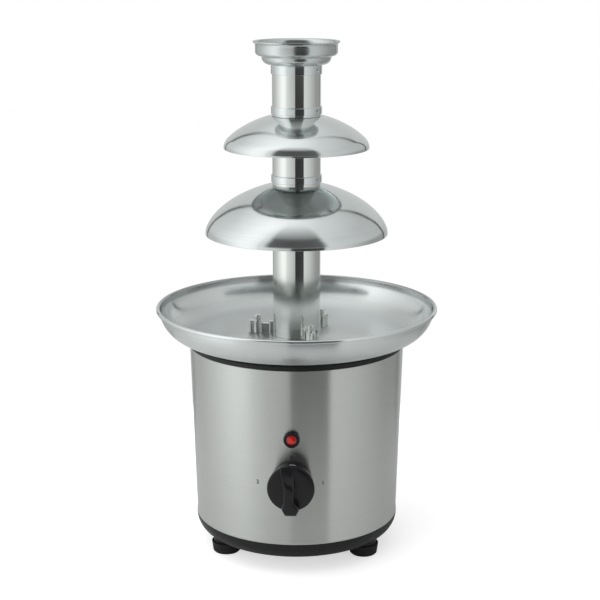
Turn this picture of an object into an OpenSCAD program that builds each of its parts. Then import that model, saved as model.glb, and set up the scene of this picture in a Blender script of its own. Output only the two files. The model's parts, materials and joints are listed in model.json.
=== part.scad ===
// Chocolate fountain: a drum-shaped base with a heater and a geared motor, a shallow bowl,
// and a lift-off tower of two domed tiers and a crown round a motor-driven auger.
// Origin: centre of the feet on the table. +Z is up, the control knob faces -Y. Millimetres.
// Directions round the axis are angles from the front, positive towards +X.

/* [Base] */
// Height of the rubber feet
foot_h = 8.5; // [6:0.5:12]
// Diameter of the rubber feet at their top
foot_d = 23; // [19:0.5:25]
// Distance of the feet and pillars in from the lower edge of the drum
foot_inset = 16.85; // [15:0.05:20]
// Height of the bosses that carry the base pan above its feet
pan_lift = 3; // [2:0.5:6]
// Height of the curved edge of the base pan
pan_h = 13.5; // [10:0.5:18]
// Width of the curved edge of the base pan
pan_curve_w = 12.4; // [10:0.2:14]
// Wall of the base pan
pan_wall = 2.5; // [2:0.1:3]
// Height of the steel drum
drum_h = 136; // [132:1:160]
// Diameter of the drum at its lower edge
drum_d_low = 156.7; // [154:0.1:164]
// Diameter of the drum at its upper edge
drum_d_high = 165.1; // [163:0.1:170]
// Sheet of the drum
drum_wall = 0.8; // [0.6:0.1:1.2]
// Height of the black ring on top of the drum
ring_h = 4; // [3:0.5:7]

/* [Bowl] */
// Diameter of the bowl over its rolled lip
bowl_d = 215.8; // [212:0.2:230]
// Inside radius of the curved bowl wall
bowl_curve_r = 23.9; // [20:0.1:25]
// Radius of the rolled lip
bowl_lip_r = 1.6; // [1.4:0.1:2.5]
// Sheet of the bowl
bowl_wall = 1; // [0.8:0.1:1.3]
// Shadow gap between the black ring and the bowl
bowl_gap = 1.2; // [0.6:0.1:2]

/* [Tower] */
// Outside diameter of the tower tubes
tube_d = 36.5; // [36:0.1:38]
// Wall of the tower tubes
tube_wall = 0.8; // [0.6:0.1:1]
// Height of the ring at the foot of the tower
tower_foot_h = 7.9; // [7:0.1:9]
// Height of the lugs that locate the tower
lug_h = 9.2; // [8:0.1:12]
// Reach of the lugs from the centre line
lug_reach = 37.5; // [36.5:0.1:40]
// Direction of the first lug
lug_turn = 23; // [0:1:50]
// Diameter of the guide pins in the bowl
pin_d = 5.2; // [4.8:0.1:5.4]
// Height of the guide pins above the bowl floor
pin_h = 14.1; // [12:0.1:18]
// Distance of the guide pins from the centre line
pin_ring_r = 30.5; // [30.5:0.1:31.5]
// Diameter of the large tier
large_tier_d = 138.6; // [120:0.2:150]
// Knuckle radius at the edge of the large tier
large_tier_knuckle = 18.4; // [12:0.1:22]
// Dome radius of the large tier
large_tier_dome_r = 89.7; // [80:0.1:110]
// Height of the edge of the large tier above the bowl floor
large_tier_rise = 79.6; // [70:0.2:90]
// Diameter of the small tier
small_tier_d = 109.5; // [96:0.2:118]
// Knuckle radius at the edge of the small tier
small_tier_knuckle = 9.4; // [6:0.1:14]
// Dome radius of the small tier
small_tier_dome_r = 78.2; // [68:0.1:100]
// Height of the edge of the small tier above that of the large tier
small_tier_rise = 64.9; // [58:0.1:75]
// Sheet of the tiers
tier_wall = 0.8; // [0.6:0.1:1.2]
// Height of the collars that join the tubes
collar_h = 5.5; // [4.5:0.1:7]
// Wall of the collars
collar_wall = 0.85; // [0.6:0.05:1.2]
// Diameter of the crown over its lip
crown_d = 65; // [63:0.2:72]
// Diameter of the cup of the crown
crown_cup_d = 61.4; // [59:0.2:62]
// Diameter of the step under the cup
crown_step_d = 52; // [49:0.2:54]
// Height of the cup of the crown
crown_cup_h = 11.5; // [10:0.1:16]
// Height of the step under the cup
crown_step_h = 6.4; // [5:0.1:8]
// Height of the crown lip above the edge of the small tier
crown_rise = 78.5; // [72:0.1:90]
// Sheet of the crown
crown_wall = 0.8; // [0.6:0.1:1]

/* [Auger] */
// Diameter over the auger flight
auger_d = 32; // [30:0.2:32.4]
// Diameter of the auger core
auger_core_d = 12; // [11:0.2:16]
// Rise of the flight in one turn
auger_pitch = 24; // [18:1:32]
// Thickness of the flight
auger_flight_t = 1.8; // [1.2:0.1:3]
// Depth of the auger top below the crown lip
auger_top_drop = 7.5; // [6:0.5:14]
// Width across the flats of the hexagonal drive
hex_af = 6.8; // [6:0.1:6.9]

/* [Drive] */
// Module of the gear teeth
gear_module = 0.8; // [0.76:0.01:0.82]
// Teeth of the pinions
pinion_teeth = 12; // [12:1:13]
// Teeth of the wheels
wheel_teeth = 48; // [44:1:48]
// Face width of the gears
gear_face = 6.5; // [5:0.1:7]
// Diameter of the drive shaft
shaft_d = 8; // [8:0.1:9]
// Diameter of the motor can
motor_d = 60; // [56:1:70]
// Height of the motor can
motor_h = 52; // [48:1:60]
// Diameter of the motor shaft
motor_shaft_d = 4; // [3:0.1:5]
// Diameter of the motor rotor
rotor_d = 34.4; // [28:0.2:35]

/* [Heater] */
// Diameter of the heat-spreading plate
heater_plate_d = 124; // [118:1:132]
// Thickness of the heat-spreading plate
heater_plate_t = 2; // [1.5:0.1:3]
// Radius of the ring-shaped heating element
heater_ring_r = 52; // [51:0.5:54]
// Diameter of the heating tube
heater_tube_d = 6.4; // [5:0.1:7]

/* [Controls] */
// Height of the knob above the lower edge of the drum
knob_rise = 51; // [46:1:60]
// Diameter of the knob face
knob_d = 34.8; // [32:0.2:40]
// Depth of the knob disc
knob_disc_t = 13.7; // [12:0.1:16]
// Height of the grip bar above the knob face
knob_bar_h = 7.6; // [6:0.1:9]
// Width of the grip bar at its waist
knob_bar_w = 8.6; // [8:0.1:10]
// Height of the pilot lamp above the knob
lamp_rise = 33; // [30:0.5:40]
// Diameter of the pilot lamp bezel
lamp_d = 12.2; // [11:0.1:14]
// Outside diameter of the flexible lead that the gland takes
lead_d = 7; // [6:0.1:8]

/* [Hidden] */
$fn = 96;
eps = 0.01;
running = 0.05;        // radial clearance of turning and sliding fits
loose = 0.1;           // radial clearance of holes round fixed pieces
clear = 0.3;           // gap between pieces that pass each other

// Levels of the base, from the table up
pan_floor_z = foot_h + pan_lift;
pan_in_z = pan_floor_z + pan_wall;
boss_rise = 2;
boss_top_z = pan_in_z + boss_rise;
shoulder_z = pan_floor_z + pan_h;
drum_top_z = shoulder_z + drum_h;
ring_top_z = drum_top_z + ring_h;
bowl_under_z = ring_top_z + bowl_gap;
floor_z = bowl_under_z + bowl_wall;
heater_z = bowl_under_z - heater_plate_t;
spacer_h = 14.2;
support_top_z = heater_z - spacer_h;
support_t = 1.5;
support_z = support_top_z - support_t;

// Drum and base pan
drum_bead = 0.55;
drum_bead_h = 2.5;
foot_ring_r = drum_d_low / 2 - foot_inset;
shoulder_r = drum_d_low / 2 + drum_bead;
pan_flat_r = shoulder_r - pan_curve_w;
pan_spigot_r = drum_d_low / 2 - drum_wall - clear;
pan_spigot_h = 9;
foot_angles = [-60, 60, 180];
foot_taper = 1;
foot_recess_r = 4.5;
foot_recess_h = 5;
foot_round = 1;
boss_margin = 1.5;
boss_r = foot_d / 2 - boss_margin;
vent_count = 12;
vent_w = 4;
vent_in_r = 13;
vent_out_r = 30;

// Black ring that carries the bowl
ring_out_r = drum_d_high / 2 - 0.1;
ring_seat_r = ring_out_r - 4.4;
ring_in_r = ring_seat_r - 8;
ring_skirt_h = 9;
ring_skirt_t = 2;

// Fasteners
m4_r = 2;
m3_r = 1.5;
m4_nut_h = 3.2;
m4_nut_af = 7;
m4_head_r = 3.6;
m4_head_h = 2.6;
m3_head_r = 2.8;
m3_head_h = 1.8;
head_taper = 0.6;
thread_spare = 2;

// Pillars and support plate
pillar_r = 4;
pillar_thread = 12;
support_margin = 2.5;
support_r = foot_ring_r + pillar_r + support_margin;

// Bowl
bowl_lean = 5;
bowl_flat_r = bowl_d / 2 - 2 * bowl_lip_r - bowl_curve_r * cos(bowl_lean);
bowl_wall_top_z = floor_z + bowl_curve_r * (1 - sin(bowl_lean));
bowl_lip_end = -40;
seal_r = 8;
seal_flange_r = 10;
seal_flange_t = 1.5;

// Guide pins and tower foot
tube_r = tube_d / 2;
tube_in_r = tube_r - tube_wall;
pin_r = pin_d / 2;
lug_step = 120;
lug_angles = [for (i = [0:2]) lug_turn + lug_step * i];
lug_boss_r = pin_r + loose + 0.9;
lug_fin_t = 3;
lug_bead_r = 2;
lug_inner_bead_r = 1.8;
tower_z = floor_z + 0.2;
foot_ring_top_z = tower_z + tower_foot_h;
lug_fin_h = tower_foot_h - 0.5;
spigot_h = 6;
spigot_t = 0.8;
spigot_r = tube_in_r - running;
inlet_h = 5;
inlet_span = 60;
inlet_angles = [for (i = [0:1]) lug_turn + lug_step * (i + 0.5)];

// Tiers: a dome arc that meets a knuckle arc, so the edge hangs straight down
function dome_turn(d, knuckle, dome_r) = acos((d / 2 - knuckle) / (dome_r - knuckle));
function dome_centre_z(edge_z, d, knuckle, dome_r) =
    edge_z + (knuckle - dome_r) * sin(dome_turn(d, knuckle, dome_r));
function dome_top_z(edge_z, d, knuckle, dome_r, r) =
    dome_centre_z(edge_z, d, knuckle, dome_r) + sqrt(dome_r * dome_r - r * r);
tier_hole_r = tube_r + running;
large_edge_z = floor_z + large_tier_rise;
small_edge_z = large_edge_z + small_tier_rise;
large_top_z = dome_top_z(large_edge_z, large_tier_d, large_tier_knuckle, large_tier_dome_r, tier_hole_r);
small_top_z = dome_top_z(small_edge_z, small_tier_d, small_tier_knuckle, small_tier_dome_r, tier_hole_r);

// Collars, butt joints of the tubes inside them, and the crown
collar_gap = 1.5;
collar_r = tube_r + running + collar_wall;
large_collar_z = large_top_z + collar_gap;
small_collar_z = small_top_z + collar_gap;
crown_lip_z = small_edge_z + crown_rise;
crown_shelf_z = crown_lip_z - crown_cup_h;
crown_floor_z = crown_shelf_z - crown_step_h;
crown_collar_z = crown_floor_z - collar_h;
large_joint_z = large_collar_z + collar_h / 2;
small_joint_z = small_collar_z + collar_h / 2;
upper_tube_top_z = crown_floor_z + crown_wall + 3;
crown_round = 3;
crown_step_flare = 1.4;
crown_cup_flare = 0.4;
crown_lip_h = 3;

// Drive shaft and auger
shaft_r = shaft_d / 2;
shaft_round_top_z = floor_z + 2.8;
hex_h = 18;
hex_clear = 0.15;
hex_top_z = shaft_round_top_z + hex_h;
auger_z = floor_z + seal_flange_t + 0.3;
auger_top_z = crown_lip_z - auger_top_drop;
auger_core_r = auger_core_d / 2;
auger_sink = 0.3;
auger_nose_h = 3;
auger_nose_taper = 2;
flight_z = auger_z + 1;
flight_top_z = auger_top_z - 2;
flight_step = 15;

// Two-stage gear train: the motor pinion turns a cluster, whose pinion turns the output wheel
train_turn = lug_turn + lug_step / 2;
pressure_angle = 25;
tooth_slack = 0.1;
gear_distance = gear_module * (pinion_teeth + wheel_teeth) / 2;
wheel_tip_r = gear_module * (wheel_teeth / 2 + 1);
case_room = 0.6;
case_wall = 1.4;
case_floor_t = 2;
case_h = 31;
case_z = support_z - case_h;
case_in_r = wheel_tip_r + case_room;
case_r = case_in_r + case_wall;
stage_1_z = case_z + case_floor_t + 2;
stage_gap = 3;
stage_2_z = stage_1_z + gear_face + stage_gap;
output_top_z = stage_2_z + gear_face;
shaft_low_z = stage_2_z - 1;
hub_h = 1.2;
hub_r = 7.5;
bush_r = 6.5;
bush_flange_r = 9;
bush_flange_t = 2;
bush_low_z = output_top_z + hub_h + clear;
bush_top_z = support_top_z + 4;
clip_r = 7;
clip_t = 1.2;
cluster_pin_r = 2;
ear_r = 4.2;
ear_h = 6;
ear_sink = 1;
ear_reach = case_r + ear_r - ear_sink;
ear_spots = [[gear_distance + ear_reach, 0], for (a = [120, 240]) ear_reach * [cos(a), sin(a)]];

// Motor, hung under the gear case
motor_r = motor_d / 2;
motor_wall = 1.2;
motor_top_t = 2;
motor_z = case_z - motor_h;
motor_shaft_r = motor_shaft_d / 2;
cap_t = 3;
core_room = 8;
core_z = motor_z + core_room;
core_h = motor_h - motor_top_t - 2 * core_room - 8;
rotor_gap = 0.4;
rotor_r = rotor_d / 2;
core_in_r = rotor_r + rotor_gap;
core_out_r = motor_r - motor_wall - running;
coil_h = 6.5;
coil_margin = 1.5;
fan_r = motor_r - 4;
fan_h = 9;
fan_hub_r = 5;
fan_blades = 6;
fan_blade_t = 1.4;
fan_z = motor_z - cap_t - 2 - fan_h;
motor_shaft_low_z = fan_z - 1;
motor_shaft_top_z = stage_1_z + gear_face + 0.5;
motor_screw_r = 16.5;
motor_screw_turns = [145, 215];
motor_lead_turns = [25, 141];
motor_lead_rises = [30.5, 34.5];

// Heating element, thermostat and thermal fuse
heater_gap_angle = 40;
heater_turn = 203;
heater_leg_r = 1.8;
heater_tube_z = heater_z - heater_tube_d / 2;
heater_leg_z = support_top_z + 2;
thermostat_ring_r = 37;
thermostat_r = 7;
thermostat_h = 8;
thermostat_tab = [6.4, 0.8, 5];
fuse_turn = 323;
fuse_ring_r = 37;
fuse_r = 2;
fuse_len = 12;
fuse_lead_r = 0.6;
fuse_lead_len = 7;
fuse_clip_w = 6;
fuse_clip_wall = 1;

// Front controls, as distances from the centre line
function drum_r(z) =
    drum_d_low / 2 + (drum_d_high - drum_d_low) / 2 * (z - shoulder_z) / drum_h;
knob_z = shoulder_z + knob_rise;
lamp_z = knob_z + lamp_rise;
// How far a flat face of radius r stands off the drum: outside for the lean, inside for the curve too
function wall_lean(r) = r * abs(drum_d_high - drum_d_low) / (2 * drum_h);
function wall_sag(r, z) = r * r / (2 * drum_r(z)) + wall_lean(r);
seat = 0.1;
switch_w = 26;
switch_h = 19;
switch_bush_r = 5;
switch_face = drum_r(knob_z) - drum_wall - wall_sag(switch_w / 2, knob_z) - seat;
switch_back = switch_face - switch_h;
switch_tab = [6.3, 0.8, 8];
nut_af = 13;
nut_h = 3;
nut_face = drum_r(knob_z) + wall_lean(nut_af / 2 / cos(30)) + running;
switch_bush_end = nut_face + nut_h + 2.4;
spindle_r = 3;
spindle_flat = 0.8;
spindle_low = switch_back + 4;
spindle_flat_z = switch_bush_end + 1;
knob_taper = 1.6;
knob_back_r = knob_d / 2 - knob_taper;
knob_gap = 1.9;
knob_back = drum_r(knob_z) + wall_lean(knob_back_r) + knob_gap;
knob_face = knob_back + knob_disc_t;
knob_bevel = 1.2;
knob_bar_l = knob_d - knob_bevel;
knob_bar_swell = 1.9;
knob_bar_chamfer = 2;
knob_nut_room_r = nut_af / 2 / cos(30) + 1.2;
spindle_end = knob_face + 1.5;
knob_scoop_r = 17;
knob_scoop_out = 2;
knob_room = 0.6;

// Pilot lamp
bezel_face_t = 3;
bezel_r = lamp_d / 2;
bezel_back = drum_r(lamp_z) + wall_lean(bezel_r) + running;
barrel_r = bezel_r - 0.7;
lens_r = bezel_r - 2;
lens_dome = 1;
barrel_len = 15;
barrel_low = bezel_back - barrel_len;
barrel_floor_t = 1.5;
bulb_r = 2.6;
bulb_len = 9;
lens_low = bezel_back - 1;
lamp_clip_t = 1.4;
lamp_clip_r = barrel_r + 2.6;
lamp_clip_face = drum_r(lamp_z) - drum_wall - wall_sag(lamp_clip_r, lamp_z) - seat;

// Lead gland in the back of the drum, and the terminal block
gland_turn = 150;
gland_rise = 17;
gland_z = shoulder_z + gland_rise;
gland_bore_r = lead_d / 2 + 0.2;
gland_r = gland_bore_r + 3.2;
gland_flange_r = gland_r + 2.2;
gland_flange_t = 3;
gland_flange_taper = 1.5;
gland_nut_t = 3.5;
gland_face = drum_r(gland_z) + wall_lean(gland_flange_r) + running;
gland_len = 13;
gland_low = gland_face - gland_len;
gland_nut_face = drum_r(gland_z) - drum_wall - wall_sag(gland_flange_r, gland_z) - seat;
block_size = [42, 16, 14];
block_gap = 1;
block_spot = [0, foot_ring_r - boss_r - block_gap - block_size[1] / 2];
block_poles = 4;
block_pole_step = 9.5;
function pole_x(i) = (i - (block_poles - 1) / 2) * block_pole_step;
pole_r = 2;
block_screw_r = 1.6;
block_screw_x = 17;

// Wires: each route starts and ends at a terminal, with hand-chosen points between
wire_r = 1.2;
wire_sides = 8;
wire_steps = 3;
wire_gap = 0.2;
wire_straight = 5;
wire_up = unit([1, 0.3, 0.2]);
thermostat_spot =
    concat(polar(thermostat_ring_r, heater_turn), heater_z - thermostat_h - thermostat_tab[2] / 2);
// Each terminal is the point where its wire ends and the direction in which the wire leaves it
function switch_terminal(x, y) =
    [[x * switch_w / 4, switch_tab[2] - switch_back + wire_gap, knob_z + y * switch_w / 4], [0, 1, 0]];
function block_terminal(i, s) =
    [[block_spot[0] + pole_x(i), block_spot[1] + s * (block_size[1] / 2 - 1), pan_in_z + block_size[2] / 2],
     [0, s, 0]];
function heater_terminal(s, a) =
    let (out = concat(polar(1, a), 0))
    [concat(polar(heater_ring_r, heater_turn + s * heater_gap_angle / 2), heater_leg_z + 2.5)
     + out * (heater_leg_r + wire_gap), out];
function thermostat_terminal(s) =
    [thermostat_spot + [s * (thermostat_r / 2 + thermostat_tab[1] / 2 + wire_gap), 0, 0], [s, 0, 0]];
function motor_terminal(a, rise) =
    [concat(polar(motor_r + wire_gap + clear, a), motor_z + rise), concat(polar(1, a), 0)];
lamp_terminal = [[0, wire_gap - barrel_low, lamp_z], [0, 1, 0]];
wire_routes = [
    [block_terminal(0, -1), [[-30, 0, 24], [-34, -26, 38], [-14, -40, 64]], switch_terminal(-1, -1)],
    [switch_terminal(1, 1), [[12, -40, 92], [8, -52, 106]], lamp_terminal],
    [switch_terminal(-1, 1), [[-32, -38, 92], [-62, -12, 110], [-69, 25, 142], [-60, 31, 154]],
     thermostat_terminal(-1)],
    [thermostat_terminal(1), [[-3, 38, 154]], heater_terminal(-1, 0)],
    [heater_terminal(1, heater_turn + heater_gap_angle / 2),
     [[-49, 56, 146], [-49, 56, 100], [-46, 56, 60], [-26, 55, 30]], block_terminal(1, 1)],
    [switch_terminal(1, -1), [[14, -40, 82]], motor_terminal(motor_lead_turns[0], motor_lead_rises[0])],
    [block_terminal(2, -1), [[20, 34, 40], [28, 36, 76]],
     motor_terminal(motor_lead_turns[1], motor_lead_rises[1])]];

function polar(r, a) = [r * sin(a), -r * cos(a)];
function arc(c, r, a0, a1, n) =
    [for (i = [0:n]) let (a = a0 + (a1 - a0) * i / n) [c[0] + r * cos(a), c[1] + r * sin(a)]];
function unit(v) = v / norm(v);
function left(v) = [-v[1], v[0]];
function side(p, i) = left(unit(p[i + 1] - p[i]));
// The outline p moved by t to its left, with mitred corners
function shifted(p, t) = [for (i = [0:len(p) - 1])
    let (a = side(p, max(i - 1, 0)), b = side(p, min(i, len(p) - 2)), m = unit(a + b))
    p[i] + m * t / (m * a)];
function reversed(p) = [for (i = [len(p) - 1:-1:0]) p[i]];

// Sheet metal spun about Z: an outline in radius and height, thickened to its left
module spun(outline, t) {
    rotate_extrude() polygon(concat(outline, reversed(shifted(outline, t))));
}

// A tube standing on z = 0
module pipe(r_out, r_in, h) {
    difference() {
        cylinder(r = r_out, h = h);
        translate([0, 0, -1]) cylinder(r = r_in, h = h + 2);
    }
}

// A closed skin over a row of rings that have the same number of corners
module swept(rings) {
    n = len(rings[0]);
    last = n * (len(rings) - 1);
    sides = [for (i = [0:len(rings) - 2]) for (k = [0:n - 1])
        let (a = n * i + k, b = n * i + (k + 1) % n) each [[a, a + n, b], [b, a + n, b + n]]];
    caps = [for (k = [1:n - 2]) each [[0, k, k + 1], [last, last + k + 1, last + k]]];
    polyhedron(points = [for (r = rings) each r], faces = concat(sides, caps));
}

// Turns children to a direction round the axis, with X pointing outwards
module facing(a) { rotate([0, 0, a - 90]) children(); }

// Places children on the drum wall: Z points out of the wall, Y up, and X along the wall
module on_wall(z, a = 0) { rotate([0, 0, a]) translate([0, 0, z]) rotate([90, 0, 0]) children(); }

module at_feet() { for (a = foot_angles) translate(polar(foot_ring_r, a)) children(); }
module at_pins() { for (a = lug_angles) translate(polar(pin_ring_r, a)) children(); }
module on_train() { facing(train_turn) children(); }
module at_ears() { on_train() for (p = ear_spots) translate(p) children(); }
module at_motor_screws() {
    on_train() for (a = motor_screw_turns) translate(motor_screw_r * [cos(a), sin(a)]) children();
}

// A pan-head screw with its head above z = 0 and its shank below
module screw(r, head_r, head_h, len) {
    cylinder(r1 = head_r, r2 = head_r - head_taper, h = head_h);
    translate([0, 0, -len]) cylinder(r = r, h = len + eps);
}

// A hexagonal prism with a round bore
module hex_nut(af, bore_r, h) {
    difference() {
        cylinder(r = af / 2 / cos(30), h = h, $fn = 6);
        translate([0, 0, -1]) cylinder(r = bore_r, h = h + 2);
    }
}

// Casing
module base_pan() {
    curve = [for (i = [0:10]) let (a = 9 * i)
        [pan_flat_r + pan_curve_w * sin(a), shoulder_z - pan_h * cos(a)]];
    inner = [for (i = [10:-1:0]) let (a = 9 * i)
        [pan_flat_r + (pan_spigot_r - pan_wall - pan_flat_r) * sin(a),
         shoulder_z - (pan_h - pan_wall) * cos(a)]];
    color("#26282a") difference() {
        union() {
            rotate_extrude() polygon(concat(
                [[0, pan_floor_z]], curve,
                [[pan_spigot_r, shoulder_z], [pan_spigot_r, shoulder_z + pan_spigot_h],
                 [pan_spigot_r - pan_wall, shoulder_z + pan_spigot_h]],
                inner, [[0, pan_in_z]]));
            at_feet() translate([0, 0, foot_h]) cylinder(r = boss_r, h = boss_top_z - foot_h);
        }
        at_feet() translate([0, 0, foot_h - 1]) cylinder(r = m4_r + loose, h = boss_top_z - foot_h + 2);
        for (i = [0:vent_count - 1]) rotate([0, 0, 360 / vent_count * i])
            translate([0, 0, pan_floor_z - 1]) linear_extrude(pan_wall + 2) {
                translate([vent_in_r, -vent_w / 2]) square([vent_out_r - vent_in_r, vent_w]);
                for (x = [vent_in_r, vent_out_r]) translate([x, 0]) circle(d = vent_w);
            }
        for (s = [-1, 1]) translate([block_spot[0] + s * block_screw_x, block_spot[1], pan_floor_z - 1])
            cylinder(r = block_screw_r, h = pan_wall + 2);
    }
}

module drum_shell() {
    bead_r = drum_d_low / 2 + drum_bead;
    bead_z = shoulder_z + drum_bead_h;
    outline = [[bead_r, shoulder_z], [bead_r, bead_z], [drum_r(bead_z + 1), bead_z + 1],
               [drum_d_high / 2, drum_top_z]];
    color("silver") difference() {
        rotate_extrude() polygon(concat(outline, reversed([for (p = outline) [p[0] - drum_wall, p[1]]])));
        on_wall(knob_z) cylinder(r = switch_bush_r + loose, h = bowl_d);
        on_wall(lamp_z) cylinder(r = barrel_r + loose, h = bowl_d);
        on_wall(gland_z, gland_turn) cylinder(r = gland_r + loose, h = bowl_d);
    }
}

module top_ring() {
    skirt_r = drum_r(drum_top_z - ring_skirt_h) - drum_wall - clear;
    color("#2b2d2f") rotate_extrude() polygon([
        [ring_in_r, drum_top_z], [skirt_r - ring_skirt_t, drum_top_z],
        [skirt_r - ring_skirt_t, drum_top_z - ring_skirt_h], [skirt_r, drum_top_z - ring_skirt_h],
        [skirt_r, drum_top_z], [ring_out_r, drum_top_z], [ring_out_r, ring_top_z - 1],
        [ring_out_r - 1, ring_top_z], [ring_seat_r, ring_top_z], [ring_seat_r, bowl_under_z],
        [ring_in_r, bowl_under_z]]);
}

module rubber_foot(i) {
    color("#1b1b1c") translate(polar(foot_ring_r, foot_angles[i])) rotate_extrude() polygon([
        [foot_recess_r, 0], [foot_d / 2 - foot_taper - foot_round, 0],
        [foot_d / 2 - foot_taper, foot_round], [foot_d / 2, foot_h], [m4_r + loose, foot_h],
        [m4_r + loose, foot_recess_h], [foot_recess_r, foot_recess_h]]);
}

module foot_left() { rubber_foot(0); }
module foot_right() { rubber_foot(1); }
module foot_rear() { rubber_foot(2); }

module foot_screws() {
    color("silver") at_feet() translate([0, 0, foot_recess_h]) mirror([0, 0, 1])
        screw(m4_r, m4_head_r, m4_head_h, boss_top_z - foot_recess_h + pillar_thread - thread_spare);
}

module tie_pillars() {
    color("silver") at_feet() translate([0, 0, boss_top_z]) difference() {
        cylinder(r = pillar_r, h = support_z - boss_top_z);
        for (z = [-1, support_z - boss_top_z - pillar_thread])
            translate([0, 0, z]) cylinder(r = m4_r + running, h = pillar_thread + 1);
    }
}

module plate_screws() {
    color("silver") translate([0, 0, support_top_z]) {
        at_feet() screw(m4_r, m4_head_r, m4_head_h, support_t + pillar_thread - thread_spare);
        at_ears() screw(m3_r, m3_head_r, m3_head_h, support_t + ear_h + ear_sink);
    }
}

module support_plate() {
    color("lightgray") translate([0, 0, support_z]) difference() {
        cylinder(r = support_r, h = support_t);
        translate([0, 0, -1]) {
            cylinder(r = bush_r + running, h = support_t + 2);
            at_feet() cylinder(r = m4_r + loose, h = support_t + 2);
            at_pins() cylinder(r = m4_r + loose, h = support_t + 2);
            at_ears() cylinder(r = m3_r + loose, h = support_t + 2);
            on_train() translate([gear_distance, 0])
                cylinder(r = cluster_pin_r + running, h = support_t + 2);
        }
    }
}

// Bowl and what is clamped under it
module bowl() {
    wall = arc([bowl_flat_r, floor_z + bowl_curve_r], bowl_curve_r, -90, -bowl_lean, 14);
    lip = arc([bowl_d / 2 - bowl_lip_r, bowl_wall_top_z], bowl_lip_r, 180, bowl_lip_end, 12);
    color("gainsboro") difference() {
        spun(concat([[seal_r, floor_z]], wall, [for (i = [1:len(lip) - 1]) lip[i]]), -bowl_wall);
        at_pins() translate([0, 0, bowl_under_z - 1]) cylinder(r = m4_r + loose, h = bowl_wall + 2);
    }
}

module shaft_seal() {
    bore = shaft_r + running;
    neck = seal_r - running;
    color("white") rotate_extrude() polygon([
        [bore, bowl_under_z - 3], [seal_flange_r, bowl_under_z - 3], [seal_flange_r, bowl_under_z],
        [neck, bowl_under_z], [neck, floor_z], [seal_flange_r, floor_z],
        [seal_flange_r - 1, floor_z + seal_flange_t], [bore, floor_z + seal_flange_t]]);
}

module guide_pins() {
    color("silver") at_pins() {
        translate([0, 0, floor_z]) cylinder(r = pin_r, h = pin_h - 1);
        translate([0, 0, floor_z + pin_h - 1]) cylinder(r1 = pin_r, r2 = pin_r - 0.8, h = 1);
        translate([0, 0, support_z - m4_nut_h - 1])
            cylinder(r = m4_r, h = floor_z - support_z + m4_nut_h + 1 + eps);
    }
}

module pin_spacers() {
    color("tan") at_pins() translate([0, 0, support_top_z]) pipe(pillar_r, m4_r + loose, spacer_h);
}

module pin_nuts() {
    color("silver") at_pins() translate([0, 0, support_z - m4_nut_h])
        hex_nut(m4_nut_af, m4_r + running, m4_nut_h);
}

module heater_plate() {
    color("lightgray") translate([0, 0, heater_z]) difference() {
        cylinder(d = heater_plate_d, h = heater_plate_t);
        translate([0, 0, -1]) {
            cylinder(r = seal_flange_r + 2, h = heater_plate_t + 2);
            at_pins() cylinder(r = m4_r + loose, h = heater_plate_t + 2);
        }
    }
}

module heating_element() {
    span = 360 - heater_gap_angle;
    color("dimgray") facing(heater_turn) rotate([0, 0, heater_gap_angle / 2]) {
        translate([0, 0, heater_tube_z]) rotate_extrude(angle = span)
            translate([heater_ring_r, 0]) circle(d = heater_tube_d);
        for (a = [0, span]) rotate([0, 0, a]) translate([heater_ring_r, 0, heater_leg_z])
            cylinder(r = heater_leg_r, h = heater_tube_z - heater_leg_z);
    }
}

module thermostat() {
    color("#3a2c22") translate(concat(polar(thermostat_ring_r, heater_turn), heater_z)) mirror([0, 0, 1]) {
        cylinder(r = thermostat_r, h = thermostat_h);
        for (s = [-1, 1]) translate([s * thermostat_r / 2 - thermostat_tab[1] / 2, -thermostat_tab[0] / 2,
                                     thermostat_h - eps])
            cube([thermostat_tab[1], thermostat_tab[0], thermostat_tab[2] - 1]);
    }
}

// The fuse lies across the heat-spreading plate, crimped in its mounting block
module thermal_fuse() {
    w = 2 * (fuse_r + fuse_clip_wall);
    color("goldenrod") facing(fuse_turn) translate([fuse_ring_r, 0, heater_z - w / 2]) {
        cube([w, fuse_clip_w, w], center = true);
        rotate([90, 0, 0]) cylinder(r = fuse_r, h = fuse_len, center = true);
        rotate([90, 0, 0]) cylinder(r = fuse_lead_r, h = fuse_len + 2 * fuse_lead_len, center = true);
    }
}

// Gear train
function involute(base_r, a) =
    base_r * [cos(a) + a * PI / 180 * sin(a), sin(a) - a * PI / 180 * cos(a)];
function turned(p, a) = [p[0] * cos(a) - p[1] * sin(a), p[0] * sin(a) + p[1] * cos(a)];

// Outline of a spur gear with a tooth on +X
function gear_outline(teeth, flank = 5) =
    let (pitch_r = gear_module * teeth / 2,
         base_r = pitch_r * cos(pressure_angle),
         tip_r = pitch_r + gear_module,
         root_r = pitch_r - 1.25 * gear_module,
         start_r = max(base_r, root_r + eps),
         roll = function(r) sqrt(r * r / (base_r * base_r) - 1) * 180 / PI,
         lag = function(r) roll(r) - atan(roll(r) * PI / 180),
         half = 90 / teeth - tooth_slack / 2 / pitch_r * 180 / PI + lag(pitch_r),
         rising = [for (i = [0:flank]) let (r = start_r + (tip_r - start_r) * i / flank)
             turned([r, 0], lag(r) - half)],
         tooth = concat([turned([root_r, 0], lag(start_r) - half)], rising,
                        [for (i = [flank:-1:0]) [rising[i][0], -rising[i][1]]],
                        [turned([root_r, 0], half - lag(start_r))]))
    [for (k = [0:teeth - 1]) for (p = tooth) turned(p, 360 / teeth * k)];

module gear(teeth, h) { linear_extrude(h) polygon(gear_outline(teeth)); }

module gear_case_outline(r) {
    circle(r = r);
    translate([gear_distance, 0]) circle(r = r);
    translate([0, -r]) square([gear_distance, 2 * r]);
}

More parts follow.
